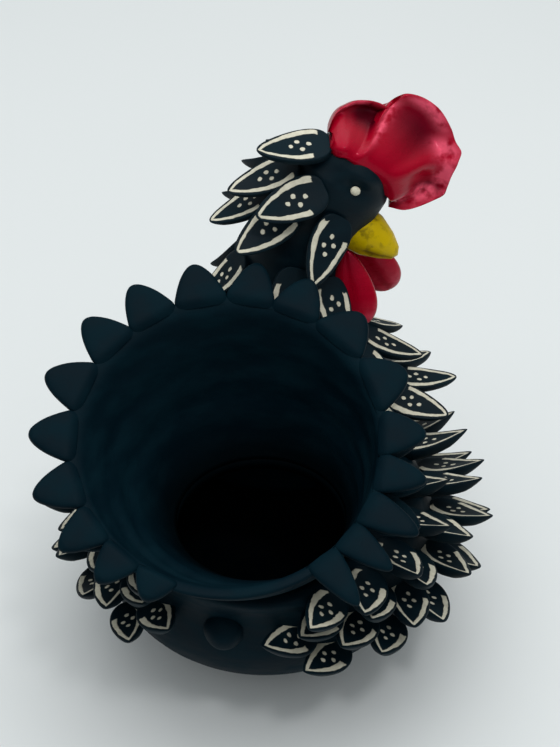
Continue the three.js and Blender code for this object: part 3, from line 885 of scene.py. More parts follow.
@dataclass(frozen=True)
class FunnelForm:
    """Open funnel from the throat to the tilted mouth."""

    pot: PotForm = PotForm()
    gap: float = 0.3
    sideways: float = -12.0
    back: float = 31.04
    height: float = 118.02
    radius: float = 49.0
    wall: float = 4.0
    tilt: float = math.radians(26.0)
    flare: float = 0.9

    def point(self, turn: Array, rise: Array, spread: Array = 0.0) -> Array:
        """Skin of the funnel: circles that grow, slide and tilt as they rise.

        Args:
            turn: Turn from +X over the far side.
            rise: 0 at the throat, 1 at the lip.
            spread: Distance outwards from the inner skin.

        Returns:
            Points in millimetres.
        """
        turn, rise, spread = np.broadcast_arrays(*(np.asarray(v, float) for v in (turn, rise, spread)))
        pot = self.pot
        foot = pot.rim_height + self.gap
        radius = pot.throat_radius + (self.radius - pot.throat_radius) * rise**self.flare + spread
        tilt = self.tilt * smooth(0.0, 1.0, rise)
        across = radius * np.sin(turn)
        return np.stack([
            pot.throat_sideways + (self.sideways - pot.throat_sideways) * rise + radius * np.cos(turn),
            -pot.throat_back + (pot.throat_back - self.back) * rise + across * np.cos(tilt),
            foot + (self.height - foot) * rise + across * np.sin(tilt),
        ], axis=-1)

    def normal(self) -> Array:
        """Direction that the mouth faces.

        Returns:
            Unit vector.
        """
        return np.array([0.0, -math.sin(self.tilt), math.cos(self.tilt)])


@dataclass(frozen=True)
class NeckForm:
    """Neck that rises from a broad breast and leans over into the head."""

    sideways: float = 5.0
    forward: float = 43.0
    root: float = 40.0
    height: float = 140.0
    lean: float = 32.0
    depth: float = 11.0
    radius: float = 19.0
    # Lean, depth, rise, then the width's and the thickness's shares of the radius.
    shares: tuple[tuple[float, ...], ...] = (
        (0.0, 0.0, 0.0, 1.9, 1.1),
        (0.03, 0.2, 0.26, 2.35, 1.2),
        (0.09, 0.5, 0.45, 1.42, 1.08),
        (0.14, 0.78, 0.6, 1.05, 0.96),
        (0.2, 0.95, 0.715, 0.94, 0.9),
        (0.47, 1.0, 0.82, 1.0, 0.82),
        (0.72, 1.0, 0.905, 0.94, 0.77),
        (0.87, 0.97, 0.965, 0.66, 0.56),
        (0.98, 0.93, 1.0, 0.2, 0.18),
    )

    def line(self) -> Curve:
        """Centre line of neck and head.

        Returns:
            The curve.
        """
        lean, depth, rise = np.array(self.shares)[:, :3].T
        return Curve(np.stack([self.sideways + self.lean * lean, self.forward + self.depth * depth,
                               self.root + self.height * rise], axis=-1))

    def point(self, turn: Array, along: Array, swell: Array = 0.0) -> Array:
        """Skin of neck and head: ellipses across the centre line.

        Args:
            turn: Turn from the near side (-Y) towards the beak.
            along: Share of the centre line.
            swell: Distance outwards.

        Returns:
            Points in millimetres.
        """
        turn, along, swell = np.broadcast_arrays(*(np.asarray(v, float) for v in (turn, along, swell)))
        line = self.line()
        across = np.array([0.0, -1.0, 0.0])
        front = unit(np.cross(line.heading(along), across))
        table = np.array(self.shares)
        knots = np.linspace(0.0, 1.0, len(table))
        wide = self.radius * np.interp(along, knots, table[:, 3]) + swell
        thick = self.radius * np.interp(along, knots, table[:, 4]) + swell
        return (line.at(along) + across * (thick * np.cos(turn))[..., None]
                + front * (wide * np.sin(turn))[..., None])


# Leaves


@dataclass(frozen=True)
class Leaf:
    """Leaf of clay: a nearly flat face with a soft rim, and a keel under it."""

    # Length of the leaf on which the slip marks are laid out.
    marks_length = 26.0
    length: float
    width: float
    crown: float
    keel: float
    lift: float
    dish: float = 0.7
    root_dip: float = 0.0
    outline: Outline = Outline.TEARDROP
    stations: int = 26
    sides: int = 32
    fullness: float = 0.6

    def half(self, share: Array) -> Array:
        """Half the leaf's width. A teardrop's is sin(pi * share^0.62)^fullness. A petal's is
        (1 - free / 2) * sqrt(1 - free^3.5), where free runs from 0 at 0.22 to 1 at the tip.

        Args:
            share: Share of the length.

        Returns:
            Half widths in millimetres.
        """
        if self.outline is Outline.TEARDROP:
            return self.width / 2 * np.sin(math.pi * np.clip(share, 0.0, 1.0) ** 0.62) ** self.fullness
        free = np.clip((share - 0.22) / 0.78, 0.0, 1.0)
        return self.width / 2 * (1 - 0.5 * free) * np.sqrt(1 - free**3.5)

    def skin(self, place: Place, seed: Array, bend: float = 0.0) -> Skin:
        """Closed skin of the leaf. Across it the top is crown * |sin|^0.7 less dish * sin^2,
        and the back is keel * |sin|, which shrinks to the tip with (1 - share)^0.35. Along it
        the middle rises and bends with the square of the share, and the root may dip.

        Args:
            place: Where it sits.
            seed: Three numbers that its marks read.
            bend: Sideways bend of the tip in millimetres.

        Returns:
            The skin.
        """
        share = (0.5 - 0.5 * np.cos(np.linspace(0.06, 0.94, self.stations) * math.pi))[:, None]
        around = turns(self.sides)[None, :]
        sine, cosine = np.sin(around), np.cos(around)
        half = self.half(share)
        full = np.minimum(1.0, 2 * half / (self.crown + self.keel)) ** 0.6
        across = half * np.sign(cosine) * np.abs(cosine) ** 0.85
        top = self.crown * np.abs(sine) ** 0.7 - self.dish * sine**2
        below = self.keel * (1 - share) ** 0.35 * np.abs(sine)
        out = self.lift * share**2 + full * np.where(sine > 0, top, -below)
        out = out - self.root_dip * np.clip(1 - share / 0.25, 0.0, 1.0) ** 2 * (sine > 0)
        along = self.length * share + 0 * around
        edge = np.where(sine > 0.02, half - np.abs(across), -np.abs(sine) * 3 - 0.02)
        local = np.stack([across + bend * share**2, along, out], axis=-1)
        marks = {"leaf": np.stack([across, along * self.marks_length / self.length, edge], axis=-1),
                 "seed": np.broadcast_to(seed, local.shape)}
        return place.skin(local, (0.0, 0.0, 0.0), (bend, self.length, self.lift), marks)


# Sub-assemblies


@dataclass
class PotBody:
    """Squat thick-walled pot and the round lump on its back."""

    form: PotForm
    finishes: Finishes
    foot_thickness: float = 6.0
    # Share of the foot's radius and height of the rings between the foot and the outside.
    foot_rings: tuple[tuple[float, float], ...] = ((0.93, 0.0), (0.985, 0.35))
    floor_share: float = 0.5
    unevenness: float = 0.35
    sides: int = 144
    steps: int = 36
    tail_turn: float = math.radians(-13.0)
    knob_radius: float = 6.8
    knob_rise: float = 0.97
    knob_level: float = 1.2

    def shell(self) -> Skin:
        """Wall of the pot: outer skin up from the foot's middle, over the lip, and down the
        inside. The outside is uneven by a few slow waves round it. The lip and the inside
        are marked deep, where the clay is darkened as painted shade.

        Returns:
            The skin.
        """
        turn = turns(self.sides)[None, :]
        level = np.linspace(0.0, 2.0, self.steps)[:, None]
        waves = np.sin(3 * turn + 4 * level) + 0.6 * np.sin(5 * turn - 3 * level + 1.0)
        swell = self.unevenness * waves * np.sin(level * math.pi / 2) ** 2
        outer = self.form.point(turn, level, swell)
        inner = self.form.point(turn, level[::-1], -self.form.wall)
        belly, height = self.form.belly_height, inner[..., 2]
        rise = self.foot_thickness + height * (1 - self.foot_thickness / belly)
        fall = belly + (height - belly) * (1 - self.form.wall / (self.form.rim_height - belly))
        inner[..., 2] = np.where(height < belly, rise, fall)
        foot = [outer[:1] * np.array([share, share, 0.0]) + np.array([0.0, 0.0, lift])
                for share, lift in self.foot_rings]
        lip = self.form.point(turn, np.array([[2.0]]), -self.form.wall)
        middle = np.array([0.0, 0.0, self.foot_thickness])
        floor = inner[-1:] * np.array([self.floor_share, self.floor_share, 0.0]) + middle
        rings = np.concatenate([*foot, outer[1:], lip, inner, floor])
        # Marked deep: the lip and the inside, darkened as painted shade.
        deep = np.arange(len(rings))[:, None, None] > self.steps - 1
        return Skin(rings, np.zeros(3), middle, {"deep": np.broadcast_to(deep, rings.shape)})

    def knob(self) -> Skin:
        """Lump of clay: a half ball, a little flattened and uneven by 3%, on the pot's skin.

        Returns:
            The skin.
        """
        place = on_skin(self.form, self.tail_turn, self.knob_level)
        rise = np.linspace(-0.4, 1.0, 18)[1:-1, None] * math.pi / 2
        turn = turns(40)[None, :]
        radius = self.knob_radius * (1 + 0.03 * np.sin(3 * turn + 2 * rise))
        top = self.knob_radius * self.knob_rise
        local = np.stack([radius * np.cos(rise) * np.cos(turn), radius * np.cos(rise) * np.sin(turn),
                          top * np.sin(rise) + 0 * turn], axis=-1)
        return place.skin(local, (0.0, 0.0, -0.6 * self.knob_radius), (0.0, 0.0, top))

    def build(self) -> None:
        """Builds and dresses the pot and its lump."""
        settle(self.shell().build("pot"), self.finishes.clay, Slot.BLACK_CLAY, "pot_body")
        settle(self.knob().build("knob"), self.finishes.clay, Slot.BLACK_CLAY, "tail_knob")


@dataclass
class TailFunnel:
    """Open funnel tail, the leaves of its lip and the leaves under them."""

    form: FunnelForm
    finishes: Finishes
    rng: np.random.Generator
    sides: int = 160
    steps: int = 30
    # Rise at which the lip starts to roll, and at which the painted shade inside, marked deep, has
    # faded out.
    lip_rise: float = 0.93
    deep_rise: float = 0.45
    # Turn of each lip leaf's tip in degrees, and its share of the full length.
    petals: tuple[tuple[float, float], ...] = (
        (-53, 1.2), (-40.5, 1.15), (-28, 1.2), (-13, 1.0), (1, 0.95), (21.5, 0.9), (45, 0.9),
        (65, 0.95), (82, 1.0), (101, 1.0), (121, 1.0), (139, 1.0), (159, 0.98), (179, 0.97),
        (198, 0.97), (215, 0.92), (230, 0.8), (245, 0.6),
    )
    under_turns: tuple[float, ...] = (-19, -3, 13, 189, 206)
    petal_gap: float = 0.1
    petal_drop: float = 0.6
    petal_bend: float = 0.5
    rise_share: float = 0.16
    under_rise: float = 0.6
    under_spread: float = 3.0
    under_bend: float = 0.5
    petal: Leaf = Leaf(16.5, 18.5, 2.0, 3.5, -2.0, 0.15, 1.8, Outline.PETAL, 30, 36)
    under: Leaf = Leaf(17.0, 14.0, 2.0, 3.5, -3.0, 0.2)

    def wall(self) -> Skin:
        """Wall of the funnel: up the inner skin, over a lip that rolls outwards, and down the
        outside. The inside carries shallow rings left by the fingers and is marked deep
        towards the throat, where painted shade darkens it.

        Returns:
            The skin.
        """
        turn = turns(self.sides)[:, None]
        rise = np.linspace(0.0, self.lip_rise, self.steps)[None, :]
        wave = 0.3 * np.sin(5 * turn + 9 * rise) + 0.25 * np.sin(30 * rise + 1.3 * np.sin(turn))
        inner = self.form.point(turn, rise, wave * np.sin(math.pi * rise))
        roll = np.linspace(0.0, 1.0, 8)[None, 1:] * math.pi / 2
        lip = self.form.point(turn, self.lip_rise + (1 - self.lip_rise) * np.sin(roll),
                              (self.form.wall - 0.6) * (1 - np.cos(roll)))
        back = np.linspace(0.985, 0.0, self.steps)[None, :]
        outer = self.form.point(turn, back, self.form.wall)
        rings = np.concatenate([inner, lip, outer], axis=1)
        # Marked deep: painted shade that darkens the inside towards the throat.
        deep = np.zeros((1, rings.shape[1]))
        deep[:, :self.steps] = 1 - smooth(0.0, self.deep_rise, rise)
        return Skin(rings, marks={"deep": np.broadcast_to(deep[..., None], rings.shape)})

    def place(self, turn: float, rise: float, spread: float) -> Place:
        """Place of a leaf under the lip, whose root lies on the funnel.

        Args:
            turn: Turn round the funnel in radians.
            rise: Rise on the funnel.
            spread: Distance of the root from the inner skin.

        Returns:
            The place.
        """
        root = self.form.point(turn, rise, spread)
        across = self.form.point(turn + math.pi, rise, spread)
        centre = (root + across) / 2
        normal = self.form.normal()
        return Place(root, unit(root - centre) + normal * self.rise_share, normal)

    def build(self) -> None:
        """Builds and dresses the funnel and its leaves."""
        settle(self.wall().build("funnel"), self.finishes.clay, Slot.BLACK_CLAY, "tail_collar")
        tips = np.radians([turn for turn, _ in self.petals])
        seams = (tips[1:] + tips[:-1]) / 2
        seams = np.concatenate([[2 * tips[0] - seams[0]], seams, [2 * tips[-1] - seams[-1]]])
        normal = self.form.normal()
        for number, (tip, (_, share)) in enumerate(zip(tips, self.petals), start=1):
            low, high = seams[number - 1:number + 1]
            width = (self.form.radius + self.form.wall) * (high - low) - self.petal_gap
            petal = replace(self.petal, length=self.petal.length * share, width=width)
            root = self.form.point((low + high) / 2, 1.0)
            along = unit(self.form.point(tip, 1.0, self.petal.length) - root) + normal * self.rise_share
            spot = Place(root - normal * self.petal_drop, along, normal)
            leaf = petal.skin(spot, np.zeros(3), self.rng.uniform(-self.petal_bend, self.petal_bend))
            settle(leaf.build(f"petal_{number:02d}"), self.finishes.clay, Slot.BLACK_CLAY,
                   f"tail_petal_{number:02d}")
        for number, turn in enumerate(np.radians(self.under_turns), start=1):
            spot = self.place(turn, self.under_rise, self.under_spread)
            leaf = self.under.skin(spot, np.zeros(3), self.under_bend)
            settle(leaf.build(f"second_leaf_{number}"), self.finishes.clay, Slot.BLACK_CLAY,
                   f"under_leaf_{number}")


@dataclass
class NeckAndHead:
    """Neck with its breast, the head's brow and sockets, and the eye dots."""

    form: NeckForm
    finishes: Finishes
    sides: int = 96
    steps: int = 120
    eye_turns: tuple[tuple[str, float], ...] = (("near", 8.0), ("far", 172.0))
    eye_along: float = 0.775
    eye_radius: float = 1.6
    eye_stretch: float = 1.15
    eye_rise: float = 1.1
    eye_depth: float = 0.9
    # Height, turn and share past the eye, and width in degrees and as a share, of its socket
    # and its brow.
    eye_forms: tuple[tuple[float, ...], ...] = (
        (-1.5, 0.0, 0.0, 17.0, 0.028), (1.3, 6.0, 0.065, 30.0, 0.03),
    )

    def skin(self) -> Skin:
        """Skin of neck and head, with a bell-shaped dent round each eye, a brow above it and
        slow waves left by the hands.

        Returns:
            The skin.
        """
        turn = turns(self.sides)[None, :]
        along = np.linspace(0.0, 1.0, self.steps)[:, None]
        swell = 0.35 * np.sin(4 * turn + 14 * along) * smooth(0.1, 0.3, along)
        for _, degrees in self.eye_turns:
            off = (np.degrees(turn) - degrees + 180.0) % 360.0 - 180.0
            for height, past, up, wide, long in self.eye_forms:
                swell = swell + height * bump(off, past, wide) * bump(along, self.eye_along + up, long)
        rings = self.form.point(turn, along, swell)
        line = self.form.line()
        return Skin(rings, line.at(0.0), line.at(1.0) + line.heading(1.0) * 0.4)

    def eye(self, degrees: float) -> Skin:
        """Eye dot: a low dome of slip, a little longer than wide.

        Args:
            degrees: Turn of the eye round the head.

        Returns:
            The skin.
        """
        place = on_skin(self.form, math.radians(degrees), self.eye_along, lift=-self.eye_depth)
        rise = np.linspace(-0.3, 1.0, 14)[1:-1, None] * math.pi / 2
        turn = turns(28)[None, :]
        local = np.stack([self.eye_radius * np.cos(rise) * np.cos(turn),
                          self.eye_stretch * self.eye_radius * np.cos(rise) * np.sin(turn),
                          self.eye_rise * np.sin(rise) + 0 * turn], axis=-1)
        return place.skin(local, (0.0, 0.0, -0.5 * self.eye_rise), (0.0, 0.0, self.eye_rise))

    def build(self) -> None:
        """Builds and dresses neck, head and eyes."""
        settle(self.skin().build("neck_head"), self.finishes.burnished, Slot.BLACK_CLAY,
               "neck_and_head")
        for name, degrees in self.eye_turns:
            settle(self.eye(degrees).build(f"eye_{name}"), self.finishes.slip, Slot.CREAM_SLIP,
                   f"eye_dot_{name}")


@dataclass
class FeatherCoat:
    """Painted feathers of neck, breast and body."""

    pot: PotForm
    neck: NeckForm
    finishes: Finishes
    rng: np.random.Generator
    lift: float = 0.8
    tail_turn: float = -13.0
    step: float = 19.0
    body_leaf: Leaf = Leaf(26.2, 16.0, 1.2, 7.06, 7.06, fullness=0.72)
    neck_leaf: Leaf = Leaf(26.0, 15.0, 1.2, 6.0, 4.0, fullness=0.54)
    body_bend: float = 3.5
    chance_bend: float = 1.2
    # Tilt and rise, in degrees, of a row's first leaf and at the end of the turning, and the
    # number of leaves that each takes to turn.
    row_angles: tuple[tuple[float, float, float], ...] = ((20.0, 38.0, 5.0), (-1.0, 16.0, 8.0))
    chance_angle: float = 4.0
    body_roll: float = math.radians(72.0)
    neck_roll: float = math.radians(32.0)
    # Shares of the full size of a row's first leaves.
    first_sizes: tuple[float, ...] = (0.84, 0.92)
    # Turn round the neck, share along it, aim of the tip and tilt outwards, in degrees.
    neck_places: tuple[tuple[float, float, float, float], ...] = (
        (-70, 0.87, -90, 25), (-72, 0.715, -90, 25), (-78, 0.61, -90, 25), (-72, 0.455, -90, 25),
        (-132, 0.8, -98, 9), (-126, 0.7, -90, 22), (-126, 0.58, -90, 25), (-126, 0.45, -90, 25),
        (-24, 0.73, -120, 25), (-36, 0.625, -102, 25), (9, 0.68, -90, 25), (2, 0.49, -95, 25),
        (36, 0.45, -90, 25), (-176, 0.73, -50, 25), (-170, 0.57, -60, 25), (152, 0.66, -70, 23),
        (130, 0.49, -90, 25),
    )
    # Name, share along the neck, tilt, then the turns, in degrees.
    ruffs: tuple[tuple[str, float, float, tuple[float, ...]], ...] = (
        ("low", 0.15, 46, (46, 70, 93, 116)), ("high", 0.25, 36, (30, 58, 88, 118)),
    )
    # Name, level on the pot, turn of the first leaf past the tail stripe and number of leaves.
    rows: tuple[tuple[str, float, float, int], ...] = (
        ("lower", 0.98, 39, 8), ("middle", 1.195, 28.5, 7),
        ("upper", 1.425, 38, 6), ("top", 1.74, 47, 5),
    )

    def seed(self, mirror: float) -> Array:
        """Seed of a leaf's marks: a random number, which edge has the long stroke, and 1.

        Args:
            mirror: 1 or -1.

        Returns:
            Three numbers.
        """
        return np.array([self.rng.uniform(0.0, 1.0), mirror, 1.0])

    def add(self, leaf: Leaf, place: Place, name: str, node: str, mirror: float,
            bend: float = 0.0) -> None:
        """Builds and dresses one feather.

        Args:
            leaf: Its shape.
            place: Its place.
            name: Its name.
            node: CAD node that it stands for.
            mirror: Which edge has the long stroke.
            bend: Sideways bend of the tip, to which a little chance is added.
        """
        chance = self.chance_bend
        skin = leaf.skin(place, self.seed(mirror), bend + self.rng.uniform(-chance, chance))
        settle(skin.build(name), self.finishes.painted, Slot.BLACK_CLAY, node)

    def row_leaf(self, mirror: int, level: float, first: float,
                 number: int) -> tuple[Leaf, Place, float]:
        """Shape, place and bend of one leaf of a body row. Along the row the leaves lean
        further out and up, with a little chance.

        Args:
            mirror: 1 on the right of the tail stripe, -1 on its left.
            level: Level of the row on the pot.
            first: Turn of the row's first leaf past the tail stripe, in degrees.
            number: Number of leaves before this one.

        Returns:
            The leaf, its place and its sideways bend.
        """
        turn = math.radians(self.tail_turn + mirror * (first + number * self.step))
        shares = [min(1.0, number / count) for *_, count in self.row_angles]
        chance = self.chance_angle
        tilt, rise = (math.radians(low + (high - low) * share + self.rng.uniform(-chance, chance))
                      for (low, high, _), share in zip(self.row_angles, shares))
        place = on_ring(self.pot, turn, level, mirror, tilt, rise, self.body_roll, self.lift)
        size = self.first_sizes[number] if number < len(self.first_sizes) else 1.0
        leaf = replace(self.body_leaf, length=self.body_leaf.length * size,
                       width=self.body_leaf.width * size)
        return leaf, place, -self.body_bend * shares[0] * mirror

    def build(self) -> None:
        """Builds every feather."""
        for number, (turn, along, aim, tilt) in enumerate(self.neck_places, start=1):
            place = on_skin(self.neck, math.radians(turn), along, math.radians(aim),
                            math.radians(tilt), self.neck_roll, self.lift)
            self.add(self.neck_leaf, place, f"neck_leaf_{number:02d}", f"neck_feather_{number:02d}",
                     1.0 if number % 2 else -1.0)
        for name, along, tilt, degrees in self.ruffs:
            for number, turn in enumerate(degrees, start=1):
                place = on_skin(self.neck, math.radians(turn), along, -math.pi / 2, math.radians(tilt),
                                lift=self.lift)
                self.add(self.neck_leaf, place, f"ruff_{name}_{number}", f"neck_ruff_{name}", 1.0)
        for name, level, first, count in self.rows:
            for mirror, side in ((1, "right"), (-1, "left")):
                for number in range(count):
                    leaf, place, bend = self.row_leaf(mirror, level, first, number)
                    self.add(leaf, place, f"leaf_{name}_{side}_{number + 1}",
                             f"feather_row_{name}_{side}", float(mirror), bend)


@dataclass
class HeadPieces:
    """Comb, beak and wattles."""

    neck: NeckForm
    finishes: Finishes
    root_depth: float = 4.0
    comb_length: float = 34.0
    comb_thickness: float = 4.0
    comb_swing: float = 3.0
    comb_curl: float = 1.5
    # Height in millimetres and radians from end to end of the ripple along the rim.
    comb_ripple: tuple[float, float] = (0.35, 61.0)
    comb_grid: tuple[int, int] = (150, 72)
    # Shares along the neck of the crown and the brow, between which the comb stands.
    comb_ends: tuple[float, float] = (0.89, 0.75)
    # Root and rim as shares of the comb's length: along, away from the head and near side.
    comb_base: tuple[tuple[float, ...], ...] = (
        (-0.07, -0.03, 0.0), (0.06, 0.02, 0.07), (0.22, 0.12, 0.12), (0.45, 0.17, 0.14),
        (0.69, 0.15, 0.12), (0.96, 0.03, 0.05),
    )
    # Share along, share out, their widths and depth in millimetres of each dent or fold.
    comb_dents: tuple[tuple[float, ...], ...] = (
        (0.275, 0.66, 0.1, 0.2, 3.4), (0.345, 0.72, 0.03, 0.3, 1.6), (0.55, 0.68, 0.12, 0.22, 2.1),
        (0.84, 0.74, 0.05, 0.3, 2.2), (0.42, 0.6, 0.045, 0.4, -1.8), (0.7, 0.6, 0.06, 0.3, -1.2),
        (0.21, 0.36, 0.12, 0.22, -2.4),
    )
    # Depth of a dent at which its glaze is darkest, as painted shade.
    comb_dark: float = 2.5
    # Share along, share out, their widths and strength of each paler patch of wear and painted
    # highlight.
    comb_wear_highlights: tuple[tuple[float, ...], ...] = (
        (0.43, 0.62, 0.03, 0.2, 1.5), (0.66, 0.86, 0.05, 0.12, 1.5), (0.9, 0.7, 0.055, 0.22, 1.5),
        (0.77, 0.9, 0.05, 0.1, 1.5), (0.12, 0.92, 0.12, 0.07, 1.5), (0.52, 0.93, 0.05, 0.07, 1.5),
    )
    comb_rim: tuple[tuple[float, ...], ...] = (
        (-0.073, -0.04, -0.02), (-0.136, 0.087, -0.1), (-0.139, 0.193, -0.16), (-0.109, 0.287, -0.2),
        (-0.051, 0.36, -0.24), (0.027, 0.433, -0.28), (0.149, 0.487, -0.32), (0.266, 0.544, -0.34),
        (0.256, 0.641, -0.36), (0.219, 0.741, -0.36), (0.327, 0.838, -0.34), (0.568, 0.93, -0.31),
        (0.806, 0.912, -0.25), (0.922, 0.878, -0.2), (1.036, 0.869, -0.14), (1.082, 0.793, -0.08),
        (1.152, 0.671, -0.06), (1.248, 0.54, -0.02), (1.266, 0.485, 0.02), (1.237, 0.362, 0.05),
        (1.123, 0.083, 0.07), (0.991, -0.042, 0.07),
    )
    beak_length: float = 15.0
    beak_radius: float = 8.8
    beak_hook: float = 1.2
    beak_turn: float = math.radians(78.0)
    beak_along: float = 0.62
    beak_aim: tuple[float, float, float] = (1.0, -0.35, -0.5)
    # Shares of the beak's length and of its radius.
    beak_profile: tuple[tuple[float, float], ...] = (
        (0.0, 1.0), (0.35, 0.93), (0.7, 0.62), (0.93, 0.3), (1.0, 0.0),
    )
    # Turn of the mouth's groove, its depth as a share, and the widths of the groove and of the glaze
    # darkened in it as painted shade.
    mouth_turn: float = 0.35
    mouth_depth: float = 0.12
    mouth_width: float = 0.16
    mouth_dark: float = 0.14
    wattle_width: float = 19.0
    wattle_thickness: float = 8.0
    # Depth as a share, centre and width of the crease.
    wattle_crease: tuple[float, float, float] = (0.16, 0.15, 0.22)
    # Name, turn, share along the neck, lean outwards, lean to the near side and length.
    wattles: tuple[tuple[str, float, float, float, float, float], ...] = (
        ("near", 60.0, 0.565, 0.2, 0.38, 29.0), ("far", 106.0, 0.57, 0.6, -0.12, 33.0),
    )

    def comb(self) -> Skin:
        """Comb: a sheet from the head to a lobed rim, whose middle is root + (rim - root) * out.
        Off that it swings by sin(2 pi * out), sinks in bell-shaped dents, ripples and curls
        at the rim. Half its thickness goes with sqrt(1 - out^6) * (1 + 0.8 * (1 - out)^2).

        Returns:
            The skin, marked with its hollows, darkened as painted shade, and its paler patches of wear
            and painted highlight.
        """
        crown, brow = (self.neck.point(turn, along) for turn, along in
                       zip((-math.pi / 2, math.pi / 2), self.comb_ends))
        chord = unit(brow - crown)
        near = unit(np.cross(chord, np.array([0.0, 0.0, 1.0])))
        away = np.cross(near, chord)
        along = np.linspace(0.0, 1.0, self.comb_grid[0])[:, None]
        base = Curve(np.array(self.comb_base, float)).at(along[:, 0])[:, None, :] * self.comb_length
        rim = Curve(np.array(self.comb_rim, float)).at(along[:, 0])[:, None, :] * self.comb_length
        base = base - unit(rim - base) * self.root_depth
        around = np.linspace(0.0, 2.0, self.comb_grid[1], endpoint=False)[None, :]
        reach = np.where(around <= 1, around, 2 - around)
        out = np.sin(reach * math.pi / 2) ** 0.9
        cup = self.comb_swing * np.sin(2 * math.pi * out) + self.comb_curl * smooth(0.75, 1.0, out)
        dents = bells(along, out, self.comb_dents)
        ripple = self.comb_ripple[0] * np.sin(along * self.comb_ripple[1]) * out**3
        rounding = np.sqrt(np.clip(1 - out**6, 0.0, 1.0)) * (1 + 0.8 * (1 - out) ** 2)
        half = self.comb_thickness / 2 * rounding * np.where(around <= 1, 1, -1)
        middle = base + (rim - base) * out[..., None]
        middle = middle + np.array([0.0, 0.0, 1.0]) * (cup - dents + ripple + half)[..., None]
        rings = crown + middle[..., :1] * chord + middle[..., 1:2] * away + middle[..., 2:] * near
        # Painted shade in the dents, and paler patches of wear and painted highlight.
        hollow = np.clip(dents / self.comb_dark, 0.0, 1.0) * (around <= 1)
        wear_and_highlight = np.clip(bells(along, out, self.comb_wear_highlights), 0.0, 1.0) * (around <= 1)
        marks = {"hollow": np.stack([hollow, wear_and_highlight, 0 * hollow], axis=-1)}
        return Skin(rings, rings[0].mean(axis=0), rings[-1].mean(axis=0), marks)

    def beak(self) -> Skin:
        """Beak: a blunt cone whose tip hooks down with the cube of the share, and the groove
        of the mouth, a bell across |sin(turn)|, round it.

        Returns:
            The skin.
        """
        root = self.neck.point(self.beak_turn, self.beak_along)
        along = unit(np.array(self.beak_aim))
        place = Place(root - along * self.root_depth, along, np.array([0.0, 0.0, 1.0]))
        length = self.beak_length + self.root_depth
        share = np.linspace(0.0, 1.0, 30)[1:-1, None]
        turn = turns(48)[None, :]
        mouth = np.abs(np.sin(turn + self.mouth_turn))
        reach = smooth(0.2, 0.5, share)
        radius = self.beak_radius * np.interp(share, *np.array(self.beak_profile).T)
        radius = radius * (1 - self.mouth_depth * bump(mouth, 0.0, self.mouth_width) * reach)
        local = np.stack([radius * np.cos(turn), length * share + 0 * turn,
                          radius * np.sin(turn) - self.beak_hook * share**3], axis=-1)
        # Painted shade: the glaze darkens in the mouth's groove.
        groove = bump(mouth, 0.0, self.mouth_dark) * reach
        marks = {"hollow": np.stack([groove, 0 * groove, 0 * groove], axis=-1)}
        return place.skin(local, (0.0, 0.0, 0.0), (0.0, length, -self.beak_hook), marks)

    def wattle(self, turn: float, level: float, out: float, near: float, length: float) -> Skin:
        """Wattle: a drop. Half its width goes with (0.5 + 0.6 * down) * sqrt(1 - (2 down - 1)^2),
        and a bell-shaped crease runs down its face.

        Args:
            turn: Turn round the neck in degrees.
            level: Share along the neck.
            out: Lean outwards.
            near: Lean to the near side.
            length: Its length.

        Returns:
            The skin.
        """
        root = self.neck.point(math.radians(turn), level)
        place = Place(root, unit(np.array([out, -near, -1.0])), np.array([0.0, -1.0, 0.0]))
        down = (0.5 - 0.5 * np.cos(np.linspace(0.0, math.pi, 34)[1:-1]))[:, None]
        swell = (0.5 + 0.6 * down) * np.sqrt(np.clip(1 - (2 * down - 1) ** 2, 0.0, 1.0))
        angle = turns(48)[None, :]
        deep, centre, width = self.wattle_crease
        crease = 1 - deep * bump(np.cos(angle), centre, width) * np.where(np.sin(angle) > 0, 1, 0)
        local = np.stack([self.wattle_width / 2 * swell * np.cos(angle), length * down + 0 * angle,
                          self.wattle_thickness / 2 * swell * np.sin(angle) * crease], axis=-1)
        # The top of the drop, under the head, is darkened as painted shade; low on its near face a
        # paler patch stands for wear and a painted highlight.
        hollow = 0.5 * smooth(0.35, 0.0, down) + 0 * angle
        wear_and_highlight = 0.25 * smooth(0.6, 0.95, down) * (np.sin(angle) > 0.4)
        marks = {"hollow": np.stack([hollow, wear_and_highlight, 0 * hollow], axis=-1)}
        return place.skin(local, (0.0, 0.0, 0.0), (0.0, length, 0.0), marks)

    def build(self) -> None:
        """Builds and dresses the head's pieces."""
        settle(self.comb().build("comb_red"), self.finishes.comb, Slot.RED_GLAZE, "comb")
        settle(self.beak().build("beak_yellow"), self.finishes.beak, Slot.YELLOW_GLAZE, "beak")
        for name, *sizes in self.wattles:
            settle(self.wattle(*sizes).build(f"wattle_{name}_drop"), self.finishes.comb,
                   Slot.RED_GLAZE, f"wattle_{name}")


